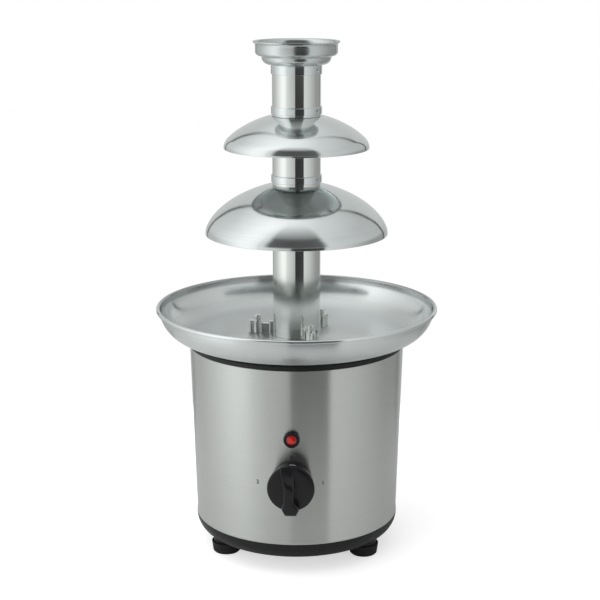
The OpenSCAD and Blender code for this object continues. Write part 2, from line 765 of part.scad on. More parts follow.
module gear_case() {
    color("#55585a") on_train() translate([0, 0, case_z]) difference() {
        union() {
            linear_extrude(case_h) gear_case_outline(case_r);
            for (p = ear_spots) translate([p[0], p[1], case_h - ear_h]) cylinder(r = ear_r, h = ear_h);
        }
        translate([0, 0, case_floor_t]) linear_extrude(case_h) gear_case_outline(case_in_r);
        translate([0, 0, -1]) cylinder(r = motor_shaft_r + 2, h = case_floor_t + 2);
        translate([gear_distance, 0, -1]) cylinder(r = cluster_pin_r + running, h = case_floor_t + 2);
        for (p = ear_spots) translate([p[0], p[1], case_h - ear_h - 1])
            cylinder(r = m3_r + running, h = ear_h + 2);
        for (a = motor_screw_turns) translate(concat(motor_screw_r * [cos(a), sin(a)], -1))
            cylinder(r = m3_r + loose, h = case_floor_t + 2);
    }
}

module cluster_pin() {
    color("silver") on_train() translate([gear_distance, 0, case_z])
        cylinder(r = cluster_pin_r, h = support_top_z - case_z);
}

module cluster_gear() {
    turn = 180 / pinion_teeth;
    color("ivory") on_train() translate([gear_distance, 0, 0]) difference() {
        union() {
            translate([0, 0, stage_1_z]) rotate([0, 0, 180]) gear(wheel_teeth, gear_face);
            translate([0, 0, stage_1_z + gear_face - eps]) rotate([0, 0, 180 + turn])
                gear(pinion_teeth, output_top_z - stage_1_z - gear_face);
        }
        translate([0, 0, stage_1_z - 1])
            cylinder(r = cluster_pin_r + running, h = output_top_z - stage_1_z + 2);
    }
}

module output_wheel() {
    color("ivory") on_train() translate([0, 0, stage_2_z]) difference() {
        union() {
            gear(wheel_teeth, gear_face);
            cylinder(r = hub_r, h = gear_face + hub_h);
        }
        translate([0, 0, -1]) cylinder(r = shaft_r + eps, h = gear_face + hub_h + 2);
    }
}

module drive_shaft() {
    color("silver") {
        translate([0, 0, shaft_low_z]) cylinder(r = shaft_r, h = shaft_round_top_z - shaft_low_z);
        translate([0, 0, shaft_round_top_z - eps])
            cylinder(r = hex_af / 2 / cos(30), h = hex_h + eps, $fn = 6);
    }
}

module shaft_clip() {
    color("silver") translate([0, 0, bush_top_z + clear]) pipe(clip_r, shaft_r + eps, clip_t);
}

module shaft_bush() {
    color("peru") difference() {
        union() {
            translate([0, 0, bush_low_z]) cylinder(r = bush_r, h = bush_top_z - bush_low_z);
            translate([0, 0, support_z - bush_flange_t]) cylinder(r = bush_flange_r, h = bush_flange_t);
        }
        translate([0, 0, bush_low_z - 1]) cylinder(r = shaft_r + running, h = bush_top_z - bush_low_z + 2);
    }
}

// Motor
module motor_can() {
    color("lightgray") difference() {
        translate([0, 0, motor_z]) cylinder(r = motor_r, h = motor_h);
        translate([0, 0, motor_z - 1]) cylinder(r = motor_r - motor_wall, h = motor_h - motor_top_t + 1);
        translate([0, 0, motor_z]) cylinder(r = motor_shaft_r + running, h = motor_h + 1);
        at_motor_screws() translate([0, 0, case_z - motor_top_t - 1])
            cylinder(r = m3_r + running, h = motor_top_t + 2);
    }
}

module motor_end_cap() {
    color("gray") difference() {
        union() {
            translate([0, 0, motor_z - cap_t]) cylinder(r = motor_r, h = cap_t);
            translate([0, 0, motor_z]) cylinder(r = motor_shaft_r + 4, h = core_room - coil_h);
        }
        translate([0, 0, motor_z - cap_t - 1]) cylinder(r = motor_shaft_r + running, h = cap_t + core_room);
    }
}

module stator_core() { color("#5b5f66") translate([0, 0, core_z]) pipe(core_out_r, core_in_r, core_h); }

module stator_windings() {
    for (z = [core_z - coil_h, core_z + core_h])
        color("chocolate") translate([0, 0, z])
            pipe(core_out_r - coil_margin, core_in_r + coil_margin, coil_h);
}

module rotor_core() {
    color("#8a8d91") translate([0, 0, core_z]) pipe(rotor_r, motor_shaft_r + eps, core_h);
}

module rotor_shaft() {
    color("silver") translate([0, 0, motor_shaft_low_z])
        cylinder(r = motor_shaft_r, h = motor_shaft_top_z - motor_shaft_low_z);
}

module motor_pinion() {
    color("goldenrod") on_train() translate([0, 0, stage_1_z]) difference() {
        rotate([0, 0, 180 / pinion_teeth]) gear(pinion_teeth, gear_face);
        translate([0, 0, -1]) cylinder(r = motor_shaft_r + eps, h = gear_face + 2);
    }
}

module cooling_fan() {
    color("#2d3033") translate([0, 0, fan_z]) difference() {
        union() {
            cylinder(r = fan_hub_r, h = fan_h);
            cylinder(r = fan_r - 4, h = fan_blade_t);
            for (i = [0:fan_blades - 1]) rotate([0, 0, 360 / fan_blades * i])
                translate([fan_hub_r - 1, -fan_blade_t / 2, 0])
                    cube([fan_r - fan_hub_r + 1, fan_blade_t, fan_h]);
        }
        translate([0, 0, -1]) cylinder(r = motor_shaft_r + eps, h = fan_h + 2);
    }
}

module motor_screws() {
    color("silver") at_motor_screws() translate([0, 0, case_z + case_floor_t])
        screw(m3_r, m3_head_r, m3_head_h, case_floor_t + motor_top_t + 1);
}

// Controls on the drum
module rotary_switch() {
    color("#2a2a2e") on_wall(knob_z) difference() {
        union() {
            translate([-switch_w / 2, -switch_w / 2, switch_back]) cube([switch_w, switch_w, switch_h]);
            translate([0, 0, switch_face - eps])
                cylinder(r = switch_bush_r, h = switch_bush_end - switch_face);
            for (x = [-1, 1]) for (y = [-1, 1])
                translate([x * switch_w / 4 - switch_tab[0] / 2, y * switch_w / 4 - switch_tab[1] / 2,
                           switch_back - switch_tab[2]])
                    cube([switch_tab[0], switch_tab[1], switch_tab[2] + eps]);
        }
        translate([0, 0, spindle_low - 1]) cylinder(r = spindle_r + running, h = switch_bush_end);
    }
}

module switch_nut() {
    color("silver") on_wall(knob_z) translate([0, 0, nut_face])
        hex_nut(nut_af, switch_bush_r + running, nut_h);
}

// The spindle has a flat on its outer end, which the knob's bore follows
module spindle_bar(r, from, to, flat_from) {
    difference() {
        translate([0, 0, from]) cylinder(r = r, h = to - from);
        translate([-r, r - spindle_flat, flat_from]) cube([2 * r, 2 * r, to]);
    }
}

module switch_spindle() {
    color("silver") on_wall(knob_z) spindle_bar(spindle_r, spindle_low, spindle_end, spindle_flat_z);
}

// Waisted outline of the grip bar
function bar_half_w(y) = knob_bar_w / 2 + knob_bar_swell * pow(y / (knob_bar_l / 2), 2);
function bar_side(n = 16) =
    [for (i = [0:n]) let (y = (knob_bar_l / 2 - knob_bar_chamfer) * (2 * i / n - 1)) [bar_half_w(y), y]];
function bar_outline() =
    let (s = bar_side(), tip = knob_bar_l / 2, w = bar_half_w(tip) - knob_bar_chamfer)
    concat(s, [[w, tip], [-w, tip]], [for (p = reversed(s)) [-p[0], p[1]]], [[-w, -tip], [w, -tip]]);

module knob() {
    color("#1f2022") on_wall(knob_z) difference() {
        union() {
            rotate_extrude() polygon([[0, knob_back], [knob_back_r, knob_back],
                [knob_d / 2, knob_face - knob_bevel], [knob_d / 2 - knob_bevel, knob_face], [0, knob_face]]);
            translate([0, 0, knob_face - 1]) linear_extrude(knob_bar_h + 1) polygon(bar_outline());
        }
        translate([-knob_d / 2, knob_bar_l / 2 + knob_scoop_out, knob_face + knob_scoop_r]) rotate([0, 90, 0])
            cylinder(r = knob_scoop_r, h = knob_d);
        translate([0, 0, knob_back - 1]) {
            cylinder(r = knob_nut_room_r, h = nut_face + nut_h + 1 - knob_back + 1);
            cylinder(r = switch_bush_r + clear, h = switch_bush_end + knob_room - knob_back + 1);
        }
        spindle_bar(spindle_r + running, knob_back - 1, spindle_end + clear, spindle_flat_z + running);
    }
}

module lamp_bezel() {
    color("#161617") on_wall(lamp_z) difference() {
        union() {
            translate([0, 0, bezel_back]) cylinder(r1 = bezel_r, r2 = bezel_r - 0.4, h = bezel_face_t);
            translate([0, 0, barrel_low]) cylinder(r = barrel_r, h = bezel_back - barrel_low + eps);
        }
        translate([0, 0, barrel_low + barrel_floor_t]) cylinder(r = lens_r + running, h = bowl_d);
    }
}

module lamp_lens() {
    face = bezel_back + bezel_face_t;
    color("red") on_wall(lamp_z) rotate_extrude() polygon([
        [0, lens_low], [lens_r, lens_low], [lens_r, face - 0.6],
        for (i = [1:6]) [lens_r * cos(15 * i), face - 0.6 + (lens_dome + 0.6) * sin(15 * i)]]);
}

module neon_bulb() {
    color("orange") on_wall(lamp_z) translate([0, 0, barrel_low + barrel_floor_t])
        cylinder(r = bulb_r, h = bulb_len);
}

module lamp_clip() {
    color("silver") on_wall(lamp_z) translate([0, 0, lamp_clip_face - lamp_clip_t])
        pipe(lamp_clip_r, barrel_r + running, lamp_clip_t);
}

module lead_gland() {
    color("#1c1d1e") on_wall(gland_z, gland_turn) difference() {
        union() {
            translate([0, 0, gland_low]) cylinder(r = gland_r, h = gland_face - gland_low + eps);
            translate([0, 0, gland_face])
                cylinder(r1 = gland_flange_r, r2 = gland_flange_r - gland_flange_taper, h = gland_flange_t);
        }
        translate([0, 0, gland_low - 1]) cylinder(r = gland_bore_r, h = bowl_d);
    }
}

module gland_nut() {
    color("#1c1d1e") on_wall(gland_z, gland_turn) translate([0, 0, gland_nut_face - gland_nut_t])
        hex_nut(2 * gland_flange_r * cos(30), gland_r + running, gland_nut_t);
}

module terminal_block() {
    color("ivory") translate([block_spot[0], block_spot[1], pan_in_z]) difference() {
        translate([-block_size[0] / 2, -block_size[1] / 2, 0]) cube(block_size);
        for (i = [0:block_poles - 1]) translate([pole_x(i), 0, block_size[2] / 2])
            rotate([90, 0, 0]) cylinder(r = pole_r, h = 2 * block_size[1], center = true);
        for (s = [-1, 1]) translate([s * block_screw_x, 0, -1])
            cylinder(r = block_screw_r, h = block_size[2] + 2);
    }
}

module block_screws() {
    color("silver") translate([block_spot[0], block_spot[1], pan_in_z + block_size[2]])
        for (s = [-1, 1]) translate([s * block_screw_x, 0, 0])
            screw(block_screw_r - running, m3_head_r, m3_head_h, block_size[2] + pan_wall - 0.5);
}

// A wire leaves each terminal straight, and runs in a smooth curve through the points between
function route_points(w) = concat(
    [w[0][0], w[0][0] + wire_straight * w[0][1]], w[1], [w[2][0] + wire_straight * w[2][1], w[2][0]]);
function route_slope(p, i) =
    let (before = p[i] - p[max(i - 1, 0)], after = p[min(i + 1, len(p) - 1)] - p[i])
    i == 0 ? after : i == len(p) - 1 ? before : unit(before + after) * min(norm(before), norm(after));
function route_point(p, i, t) =
    pow(1 - t, 2) * ((1 + 2 * t) * p[i] + t * route_slope(p, i))
    + t * t * ((3 - 2 * t) * p[i + 1] + (t - 1) * route_slope(p, i + 1));
function route_curve(p) = concat(
    [for (i = [0:len(p) - 2]) for (k = [0:wire_steps - 1]) route_point(p, i, k / wire_steps)],
    [p[len(p) - 1]]);
function wire_ring(c, i) =
    let (along = unit(c[min(i + 1, len(c) - 1)] - c[max(i - 1, 0)]),
         across = unit(cross(along, wire_up)), up = cross(across, along))
    [for (k = [0:wire_sides - 1]) let (a = 360 / wire_sides * k)
        c[i] + wire_r * (cos(a) * across + sin(a) * up)];

module wiring() {
    for (w = wire_routes) let (c = route_curve(route_points(w)))
        color("firebrick") swept([for (i = [0:len(c) - 1]) wire_ring(c, i)]);
}

// Tower
module lug(a) {
    facing(a) {
        translate([tube_r - tube_wall, -lug_fin_t / 2, 0])
            cube([lug_reach - lug_bead_r - tube_r + tube_wall, lug_fin_t, lug_fin_h]);
        translate([lug_reach - lug_bead_r, 0, 0]) cylinder(r = lug_bead_r, h = lug_h);
        translate([tube_r + lug_inner_bead_r + loose, 0, 0]) cylinder(r = lug_inner_bead_r, h = lug_h);
    }
    translate(polar(pin_ring_r, a)) cylinder(r = lug_boss_r, h = lug_h);
}

module tower_foot() {
    color("whitesmoke") translate([0, 0, tower_z]) difference() {
        union() {
            cylinder(r = tube_r, h = tower_foot_h);
            cylinder(r = spigot_r, h = tower_foot_h + spigot_h);
            for (a = lug_angles) lug(a);
        }
        translate([0, 0, -1]) cylinder(r = spigot_r - spigot_t, h = tower_foot_h + spigot_h + 2);
        at_pins() translate([0, 0, -1]) cylinder(r = pin_r + loose, h = lug_h + 2);
        for (a = inlet_angles) facing(a) rotate([0, 0, -inlet_span / 2]) translate([0, 0, -1])
            rotate_extrude(angle = inlet_span) square([tube_r + 1, inlet_h + 1]);
    }
}

module tube(low_z, top_z) {
    color("silver") translate([0, 0, low_z]) pipe(tube_r, tube_in_r, top_z - low_z);
}
module lower_tube() { tube(foot_ring_top_z, large_joint_z); }
module middle_tube() { tube(large_joint_z, small_joint_z); }
module upper_tube() { tube(small_joint_z, upper_tube_top_z); }

module tier(edge_z, d, knuckle, dome_r) {
    turn = dome_turn(d, knuckle, dome_r);
    edge = arc([d / 2 - knuckle, edge_z], knuckle, 0, turn, 8);
    top = acos((tier_hole_r - 2) / dome_r);
    dome = arc([0, dome_centre_z(edge_z, d, knuckle, dome_r)], dome_r, turn, top, 14);
    color("gainsboro") difference() {
        spun(concat(edge, [for (i = [1:len(dome) - 1]) dome[i]]), tier_wall);
        translate([0, 0, edge_z]) cylinder(r = tier_hole_r, h = dome_r);
    }
}
module large_tier() { tier(large_edge_z, large_tier_d, large_tier_knuckle, large_tier_dome_r); }
module small_tier() { tier(small_edge_z, small_tier_d, small_tier_knuckle, small_tier_dome_r); }

module collar(z) { color("gainsboro") translate([0, 0, z]) pipe(collar_r, tube_r + running, collar_h); }
module large_tier_collar() { collar(large_collar_z); }
module small_tier_collar() { collar(small_collar_z); }
module crown_collar() { collar(crown_collar_z); }

module crown() {
    step_r = crown_step_d / 2;
    cup_r = crown_cup_d / 2;
    step_in_r = step_r - crown_step_flare - crown_round;
    cup_in_r = cup_r - crown_cup_flare - crown_round;
    step = arc([step_in_r, crown_floor_z + crown_round], crown_round, -90, -5, 6);
    cup = arc([cup_in_r, crown_shelf_z + crown_round], crown_round, -90, -5, 6);
    lip = arc([crown_d / 2, crown_lip_z - crown_lip_h], crown_d / 2 - cup_r, 180, 90, 5);
    color("gainsboro") spun(concat([[tier_hole_r, crown_floor_z]], step, [[step_r, crown_shelf_z]],
        cup, [for (p = lip) [p[0], crown_lip_z - crown_lip_h
            + (p[1] - crown_lip_z + crown_lip_h) * crown_lip_h / (crown_d / 2 - cup_r)]]), crown_wall);
}

// Auger
module auger_core() {
    color("silver") difference() {
        union() {
            translate([0, 0, auger_z]) cylinder(r = auger_core_r, h = auger_top_z - auger_z - auger_nose_h);
            translate([0, 0, auger_top_z - auger_nose_h])
                cylinder(r1 = auger_core_r, r2 = auger_core_r - auger_nose_taper, h = auger_nose_h);
        }
        translate([0, 0, auger_z - 1])
            cylinder(r = (hex_af / 2 + hex_clear) / cos(30), h = hex_top_z - auger_z + 1, $fn = 6);
        translate([0, 0, auger_z - 1])
            cylinder(r = shaft_r + clear, h = shaft_round_top_z + clear - auger_z + 1);
    }
}

function flight_ring(a) =
    let (z = flight_z + auger_pitch * a / 360, r = [auger_core_r - auger_sink, auger_d / 2])
    [for (c = [[r[0], 0], [r[1], 0], [r[1], auger_flight_t], [r[0], auger_flight_t]])
        [c[0] * cos(a), c[0] * sin(a), z + c[1]]];

module auger_flight() {
    steps = floor((flight_top_z - flight_z - auger_flight_t) / auger_pitch * 360 / flight_step);
    color("silver") swept([for (i = [0:steps]) flight_ring(flight_step * i)]);
}

base_pan();
drum_shell();
top_ring();
foot_left();
foot_right();
foot_rear();
foot_screws();
tie_pillars();
plate_screws();
support_plate();
bowl();
shaft_seal();
guide_pins();
pin_spacers();
pin_nuts();
heater_plate();
heating_element();
thermostat();
thermal_fuse();
gear_case();
cluster_pin();
cluster_gear();
output_wheel();
drive_shaft();
shaft_clip();
shaft_bush();
motor_can();
motor_end_cap();
stator_core();
stator_windings();
rotor_core();
rotor_shaft();
motor_pinion();
cooling_fan();
motor_screws();
rotary_switch();
switch_nut();
switch_spindle();
knob();
lamp_bezel();
lamp_lens();
neon_bulb();
lamp_clip();
lead_gland();
gland_nut();
terminal_block();
block_screws();
wiring();
tower_foot();
lower_tube();
middle_tube();
upper_tube();
large_tier();
small_tier();
large_tier_collar();
small_tier_collar();
crown_collar();
crown();
auger_core();
auger_flight();
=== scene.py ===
import json
import math
from collections import namedtuple

import bmesh
import bpy
from mathutils import Matrix, Vector


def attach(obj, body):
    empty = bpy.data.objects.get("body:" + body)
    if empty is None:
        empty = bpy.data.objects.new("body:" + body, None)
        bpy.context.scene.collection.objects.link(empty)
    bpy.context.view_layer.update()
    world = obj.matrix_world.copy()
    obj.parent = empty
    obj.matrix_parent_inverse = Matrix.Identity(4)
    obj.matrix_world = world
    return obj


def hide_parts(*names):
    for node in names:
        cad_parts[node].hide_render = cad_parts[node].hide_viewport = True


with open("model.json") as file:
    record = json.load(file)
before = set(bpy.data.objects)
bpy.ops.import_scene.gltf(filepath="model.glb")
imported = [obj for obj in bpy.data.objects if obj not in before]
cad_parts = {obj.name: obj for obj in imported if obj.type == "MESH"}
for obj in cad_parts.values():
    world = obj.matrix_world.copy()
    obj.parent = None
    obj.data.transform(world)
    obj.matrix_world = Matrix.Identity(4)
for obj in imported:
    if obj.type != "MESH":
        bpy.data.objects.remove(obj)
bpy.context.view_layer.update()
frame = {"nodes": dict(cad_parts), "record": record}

# Sizes are in millimetres, as in the part's source, and become metres in the meshes.
# Sizes in looks, lamps and the camera are in metres, as Blender has them.
# Directions round the axis are in degrees from the front, positive towards +X.
MM = 0.001
SEGMENTS = 192
SHARP_ANGLE = 32.0
NEAR_AXIS = 1e-6

SHOULDER_Z = 25.0
DRUM_TOP_Z = 161.0
DRUM_H = DRUM_TOP_Z - SHOULDER_Z
DRUM_R_LOW = 78.35
DRUM_R_HIGH = 82.55
DRUM_WALL = 0.8
BOWL_FLOOR_Z = 167.2
TUBE_R = 18.25
TUBE_IN_R = 17.45
TIER_HOLE_R = 18.3
SHEET = 0.8
KNOB_Z = 76.0
LAMP_Z = 109.0
LENS_R = 4.1


def polar(r, angle, z=0.0):
    a = math.radians(angle)
    return (r * math.sin(a), -r * math.cos(a), z)


def drum_r(z):
    return DRUM_R_LOW + (DRUM_R_HIGH - DRUM_R_LOW) * (z - SHOULDER_Z) / DRUM_H


# Outlines are lists of (radius, height), and a sheet is an outline thickened to its left
def arc(centre_r, centre_z, radius, start, end, steps, squash=1.0):
    out = []
    for i in range(steps + 1):
        a = math.radians(start + (end - start) * i / steps)
        out.append((centre_r + radius * math.cos(a), centre_z + radius * squash * math.sin(a)))
    return out


def shifted(line, distance):
    """The line moved to its left, with mitred corners."""
    out = []
    last = len(line) - 1
    for i, (x, y) in enumerate(line):
        sides = []
        for j in (max(i - 1, 0), min(i, last - 1)):
            dx = line[j + 1][0] - line[j][0]
            dy = line[j + 1][1] - line[j][1]
            length = math.hypot(dx, dy)
            sides.append((-dy / length, dx / length))
        mitre_x = sides[0][0] + sides[1][0]
        mitre_y = sides[0][1] + sides[1][1]
        length = math.hypot(mitre_x, mitre_y)
        mitre_x /= length
        mitre_y /= length
        reach = distance / (mitre_x * sides[0][0] + mitre_y * sides[0][1])
        out.append((x + mitre_x * reach, y + mitre_y * reach))
    return out


def sheet(line, thickness):
    return line + list(reversed(shifted(line, thickness)))


# Meshes
def finish_mesh(bm, name, sharp=SHARP_ANGLE):
    bmesh.ops.recalc_face_normals(bm, faces=bm.faces)
    limit = math.radians(sharp)
    for face in bm.faces:
        face.smooth = True
    for edge in bm.edges:
        if edge.is_manifold and edge.calc_face_angle() > limit:
            edge.smooth = False
    mesh = bpy.data.meshes.new(name)
    bm.to_mesh(mesh)
    bm.free()
    return mesh


def skin(bm, a, b):
    """Faces between two closed rows of points. A row on the axis is one point that repeats."""
    count = len(a)
    for k in range(count):
        j = (k + 1) % count
        corners = []
        for v in (a[k], a[j], b[j], b[k]):
            if v not in corners:
                corners.append(v)
        if len(corners) > 2:
            bm.faces.new(corners)


def ring(bm, r, z, segments):
    if r < NEAR_AXIS:
        return [bm.verts.new((0, 0, z * MM))] * segments
    turn = 360.0 / segments
    return [bm.verts.new(Vector(polar(r, turn * k, z)) * MM) for k in range(segments)]


def revolve(bm, outline, segments):
    """A closed outline turned about Z."""
    rings = [ring(bm, r, z, segments) for r, z in outline]
    for i in range(len(rings)):
        skin(bm, rings[i - 1], rings[i])


def spun(name, outline, sharp=SHARP_ANGLE):
    bm = bmesh.new()
    revolve(bm, outline, SEGMENTS)
    return finish_mesh(bm, name, sharp)


def loft(bm, sections):
    """A closed skin over a row of sections with the same number of points, in millimetres."""
    rows = [[bm.verts.new(Vector(p) * MM) for p in section] for section in sections]
    for a, b in zip(rows, rows[1:]):
        skin(bm, a, b)
    bm.faces.new(rows[0])
    bm.faces.new(rows[-1])


def on_wall(z, angle=0.0):
    """Local Z points out of the drum wall, Y up and X along the wall."""
    turn = Matrix.Rotation(math.radians(angle), 4, "Z")
    return turn @ Matrix.Translation((0, 0, z * MM)) @ Matrix.Rotation(math.pi / 2, 4, "X")


def piece(name, mesh, body, material, nodes=(), place=None):
    if place is not None:
        mesh.transform(place)
    obj = bpy.data.objects.new(name, mesh)
    bpy.context.scene.collection.objects.link(obj)
    mesh.materials.append(material)
    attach(obj, body)
    if nodes:
        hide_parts(*nodes)
    return obj


SEAM_GAP = 2e-6
SLIVER = 1e-6


def welded(node, name, sharp):
    """The node's own shape with its seams joined, so that its curves shade smoothly."""
    bm = bmesh.new()
    bm.from_mesh(frame["nodes"][node].data)
    bmesh.ops.remove_doubles(bm, verts=bm.verts, dist=SEAM_GAP)
    bmesh.ops.dissolve_degenerate(bm, edges=bm.edges, dist=SLIVER)
    return finish_mesh(bm, name, sharp)


# Materials
class Net:
    """A material's node tree, with short ways to add and join nodes."""

    def __init__(self, name):
        self.material = bpy.data.materials.new(name)
        self.material.use_nodes = True
        self.tree = self.material.node_tree
        self.tree.nodes.clear()
        self.out = self.add("ShaderNodeOutputMaterial")

    def add(self, kind, **values):
        node = self.tree.nodes.new(kind)
        for key, value in values.items():
            setattr(node, key, value)
        return node

    def join(self, a, b):
        self.tree.links.new(a, b)

    def math(self, operation, a, b=None, c=None):
        node = self.add("ShaderNodeMath", operation=operation)
        for i, value in enumerate((a, b, c)):
            if value is None:
                continue
            if isinstance(value, (int, float)):
                node.inputs[i].default_value = value
            else:
                self.join(value, node.inputs[i])
        return node.outputs[0]

    def place(self):
        return self.add("ShaderNodeTexCoord").outputs["Object"]

    def split(self, vector):
        node = self.add("ShaderNodeSeparateXYZ")
        self.join(vector, node.inputs[0])
        return node.outputs

    def scaled(self, vector, sx, sy, sz):
        node = self.add("ShaderNodeVectorMath", operation="MULTIPLY")
        self.join(vector, node.inputs[0])
        node.inputs[1].default_value = (sx, sy, sz)
        return node.outputs[0]

    def length(self, vector):
        node = self.add("ShaderNodeVectorMath", operation="LENGTH")
        self.join(vector, node.inputs[0])
        return node.outputs["Value"]

    def noise(self, vector, scale, detail=3.0, rough=0.55):
        node = self.add("ShaderNodeTexNoise")
        self.join(vector, node.inputs["Vector"])
        node.inputs["Scale"].default_value = scale
        node.inputs["Detail"].default_value = detail
        node.inputs["Roughness"].default_value = rough
        return node.outputs["Fac"]

    def spread(self, value, low, high, from_low=0.3, from_high=0.7):
        node = self.add("ShaderNodeMapRange")
        self.join(value, node.inputs["Value"])
        node.inputs["From Min"].default_value = from_low
        node.inputs["From Max"].default_value = from_high
        node.inputs["To Min"].default_value = low
        node.inputs["To Max"].default_value = high
        return node.outputs["Result"]

    def shades(self, value, dark, light, low=0.3, high=0.7):
        node = self.add("ShaderNodeValToRGB")
        self.join(value, node.inputs["Fac"])
        node.color_ramp.elements[0].position = low
        node.color_ramp.elements[0].color = (*dark, 1)
        node.color_ramp.elements[1].position = high
        node.color_ramp.elements[1].color = (*light, 1)
        return node.outputs["Color"]

    def mix(self, share, a, b):
        node = self.add("ShaderNodeMixRGB")
        for socket, value in (("Fac", share), ("Color1", a), ("Color2", b)):
            self.join(value, node.inputs[socket])
        return node.outputs["Color"]

    def bump(self, height, distance, strength, normal=None):
        node = self.add("ShaderNodeBump")
        self.join(height, node.inputs["Height"])
        node.inputs["Distance"].default_value = distance
        node.inputs["Strength"].default_value = strength
        if normal is not None:
            self.join(normal, node.inputs["Normal"])
        return node.outputs["Normal"]

    def rounded(self, radius):
        node = self.add("ShaderNodeBevel", samples=4)
        node.inputs["Radius"].default_value = radius
        return node.outputs["Normal"]

    def principled(self, color, rough, normal, **values):
        node = self.add("ShaderNodeBsdfPrincipled")
        for socket, value in (("Base Color", color), ("Roughness", rough), ("Normal", normal)):
            self.join(value, node.inputs[socket])
        for socket, value in values.items():
            node.inputs[socket.replace("_", " ")].default_value = value
        self.join(node.outputs["BSDF"], self.out.inputs["Surface"])
        return node


def shade(color, factor):
    return tuple(min(1.0, c * factor) for c in color)


# Zones of turned steel that differ from the rest of it: painted shade where faces look down and on a band of
# wall, and a rougher rim
# Below: painted shade and roughness of the faces whose normal has less Z than the slope
Below = namedtuple("Below", "shade rough slope")
# Rim: the roughness that is reached from a first to a last radius
Rim = namedtuple("Rim", "start end rough")
# Wall: a painted shade, standing for a dark reflection, that is reached from a low to a high height, inside a
# radius
Wall = namedtuple("Wall", "low high radius shade")

# How fast the lines change round the axis, how fine the stains are, and how softly the zones end
LINE_CHANGE = 6.0
STAIN_SCALE = 38.0
SLOPE_SOFT = 0.05
WALL_SOFT = 0.0004
QUARTER_TURN = 0.25


def turned_steel(name, color, rough, line_scale, line_depth, anisotropy, smudge=0.04, edge=None,
                 below=None, rim=None, wall=None):
    """Steel worked in a lathe: fine lines round the axis, faint smudges, light stretched across the lines,
    and optional painted shade on faces that look down and on a band of wall.
    """
    net = Net(name)
    place = net.place()
    x, y, z = net.split(place)
    from_axis = net.length(net.scaled(place, 1, 1, 0))
    along = net.math("ADD", from_axis, z)
    lines_at = net.add("ShaderNodeCombineXYZ")
    net.join(net.math("MULTIPLY", x, LINE_CHANGE), lines_at.inputs[0])
    net.join(net.math("MULTIPLY", y, LINE_CHANGE), lines_at.inputs[1])
    net.join(net.math("MULTIPLY", along, line_scale), lines_at.inputs[2])
    lines = net.noise(lines_at.outputs[0], 1.0, 4.0, 0.6)
    stains = net.noise(place, STAIN_SCALE, 4.0, 0.5)
    tint = net.shades(lines, shade(color, 0.975), shade(color, 1.02))
    mixed = net.math("ADD", net.math("MULTIPLY", lines, 0.5), net.math("MULTIPLY", stains, 0.5))
    roughness = net.spread(mixed, rough - smudge, rough + smudge)
    if rim:
        gain = net.spread(from_axis, 0.0, rim.rough - rough, rim.start, rim.end)
        roughness = net.math("ADD", roughness, gain)
    # Painted shade: a darker band on the upper inner wall that stands for a dark reflection along the rim
    if wall:
        high = net.spread(z, 0.0, 1.0, wall.low, wall.high)
        inside = net.spread(from_axis, 1.0, 0.0, wall.radius, wall.radius + WALL_SOFT)
        painted_shade = net.shades(mixed, shade(color, wall.shade * 0.96), shade(color, wall.shade * 1.04))
        tint = net.mix(net.math("MULTIPLY", high, inside), tint, painted_shade)
    # Painted shade: faces that look down are darkened, and get a roughness of their own
    if below:
        facing = net.split(net.add("ShaderNodeNewGeometry").outputs["Normal"])["Z"]
        down = net.spread(facing, 1.0, 0.0, below.slope - SLOPE_SOFT, below.slope + SLOPE_SOFT)
        painted_shade = net.shades(mixed, shade(color, below.shade * 0.95), shade(color, below.shade * 1.05))
        tint = net.mix(down, tint, painted_shade)
        under = net.spread(mixed, below.rough - smudge, below.rough + smudge)
        roughness = net.math("MULTIPLY_ADD", net.math("SUBTRACT", under, roughness), down, roughness)
    normal = net.bump(lines, line_depth, 0.35, net.rounded(edge) if edge else None)
    shader = net.principled(tint, roughness, normal, Metallic=1.0, Anisotropic=anisotropy,
                            Anisotropic_Rotation=QUARTER_TURN)
    tangent = net.add("ShaderNodeTangent", direction_type="RADIAL", axis="Z")
    net.join(tangent.outputs["Tangent"], shader.inputs["Tangent"])
    return net.material


def plain_metal(name, color, rough, grain=900.0, depth=2e-5, edge=0.0003):
    """Plated, cast or drawn metal with a fine grain and slightly uneven gloss."""
    net = Net(name)
    place = net.place()
    fine = net.noise(place, grain, 3.0, 0.6)
    broad = net.noise(place, 55.0, 3.0, 0.5)
    tint = net.shades(broad, shade(color, 0.9), shade(color, 1.06))
    roughness = net.spread(broad, rough * 0.8, rough * 1.25)
    net.principled(tint, roughness, net.bump(fine, depth, 0.4, net.rounded(edge)), Metallic=1.0)
    return net.material


def moulded(name, color, rough, grain=1400.0, depth=3e-5, coat=0.0, edge=0.0004, specular=0.5):
    """Moulded plastic or rubber: a fine grain, softened edges, faint mottling."""
    net = Net(name)
    place = net.place()
    fine = net.noise(place, grain, 2.0, 0.6)
    broad = net.noise(place, 42.0, 4.0, 0.55)
    tint = net.shades(broad, shade(color, 0.86), shade(color, 1.14))
    roughness = net.spread(broad, rough * 0.85, rough * 1.15)
    net.principled(tint, roughness, net.bump(fine, depth, 0.3, net.rounded(edge)),
                   Coat_Weight=coat, Coat_Roughness=0.12, Specular_IOR_Level=specular)
    return net.material


# The lens's colour in its middle, and the painted shade it darkens to at its rim
LENS_MIDDLE = (0.66, 0.012, 0.007)
LENS_EDGE = (0.10, 0.004, 0.004)
SPECK_SHARE = 0.07


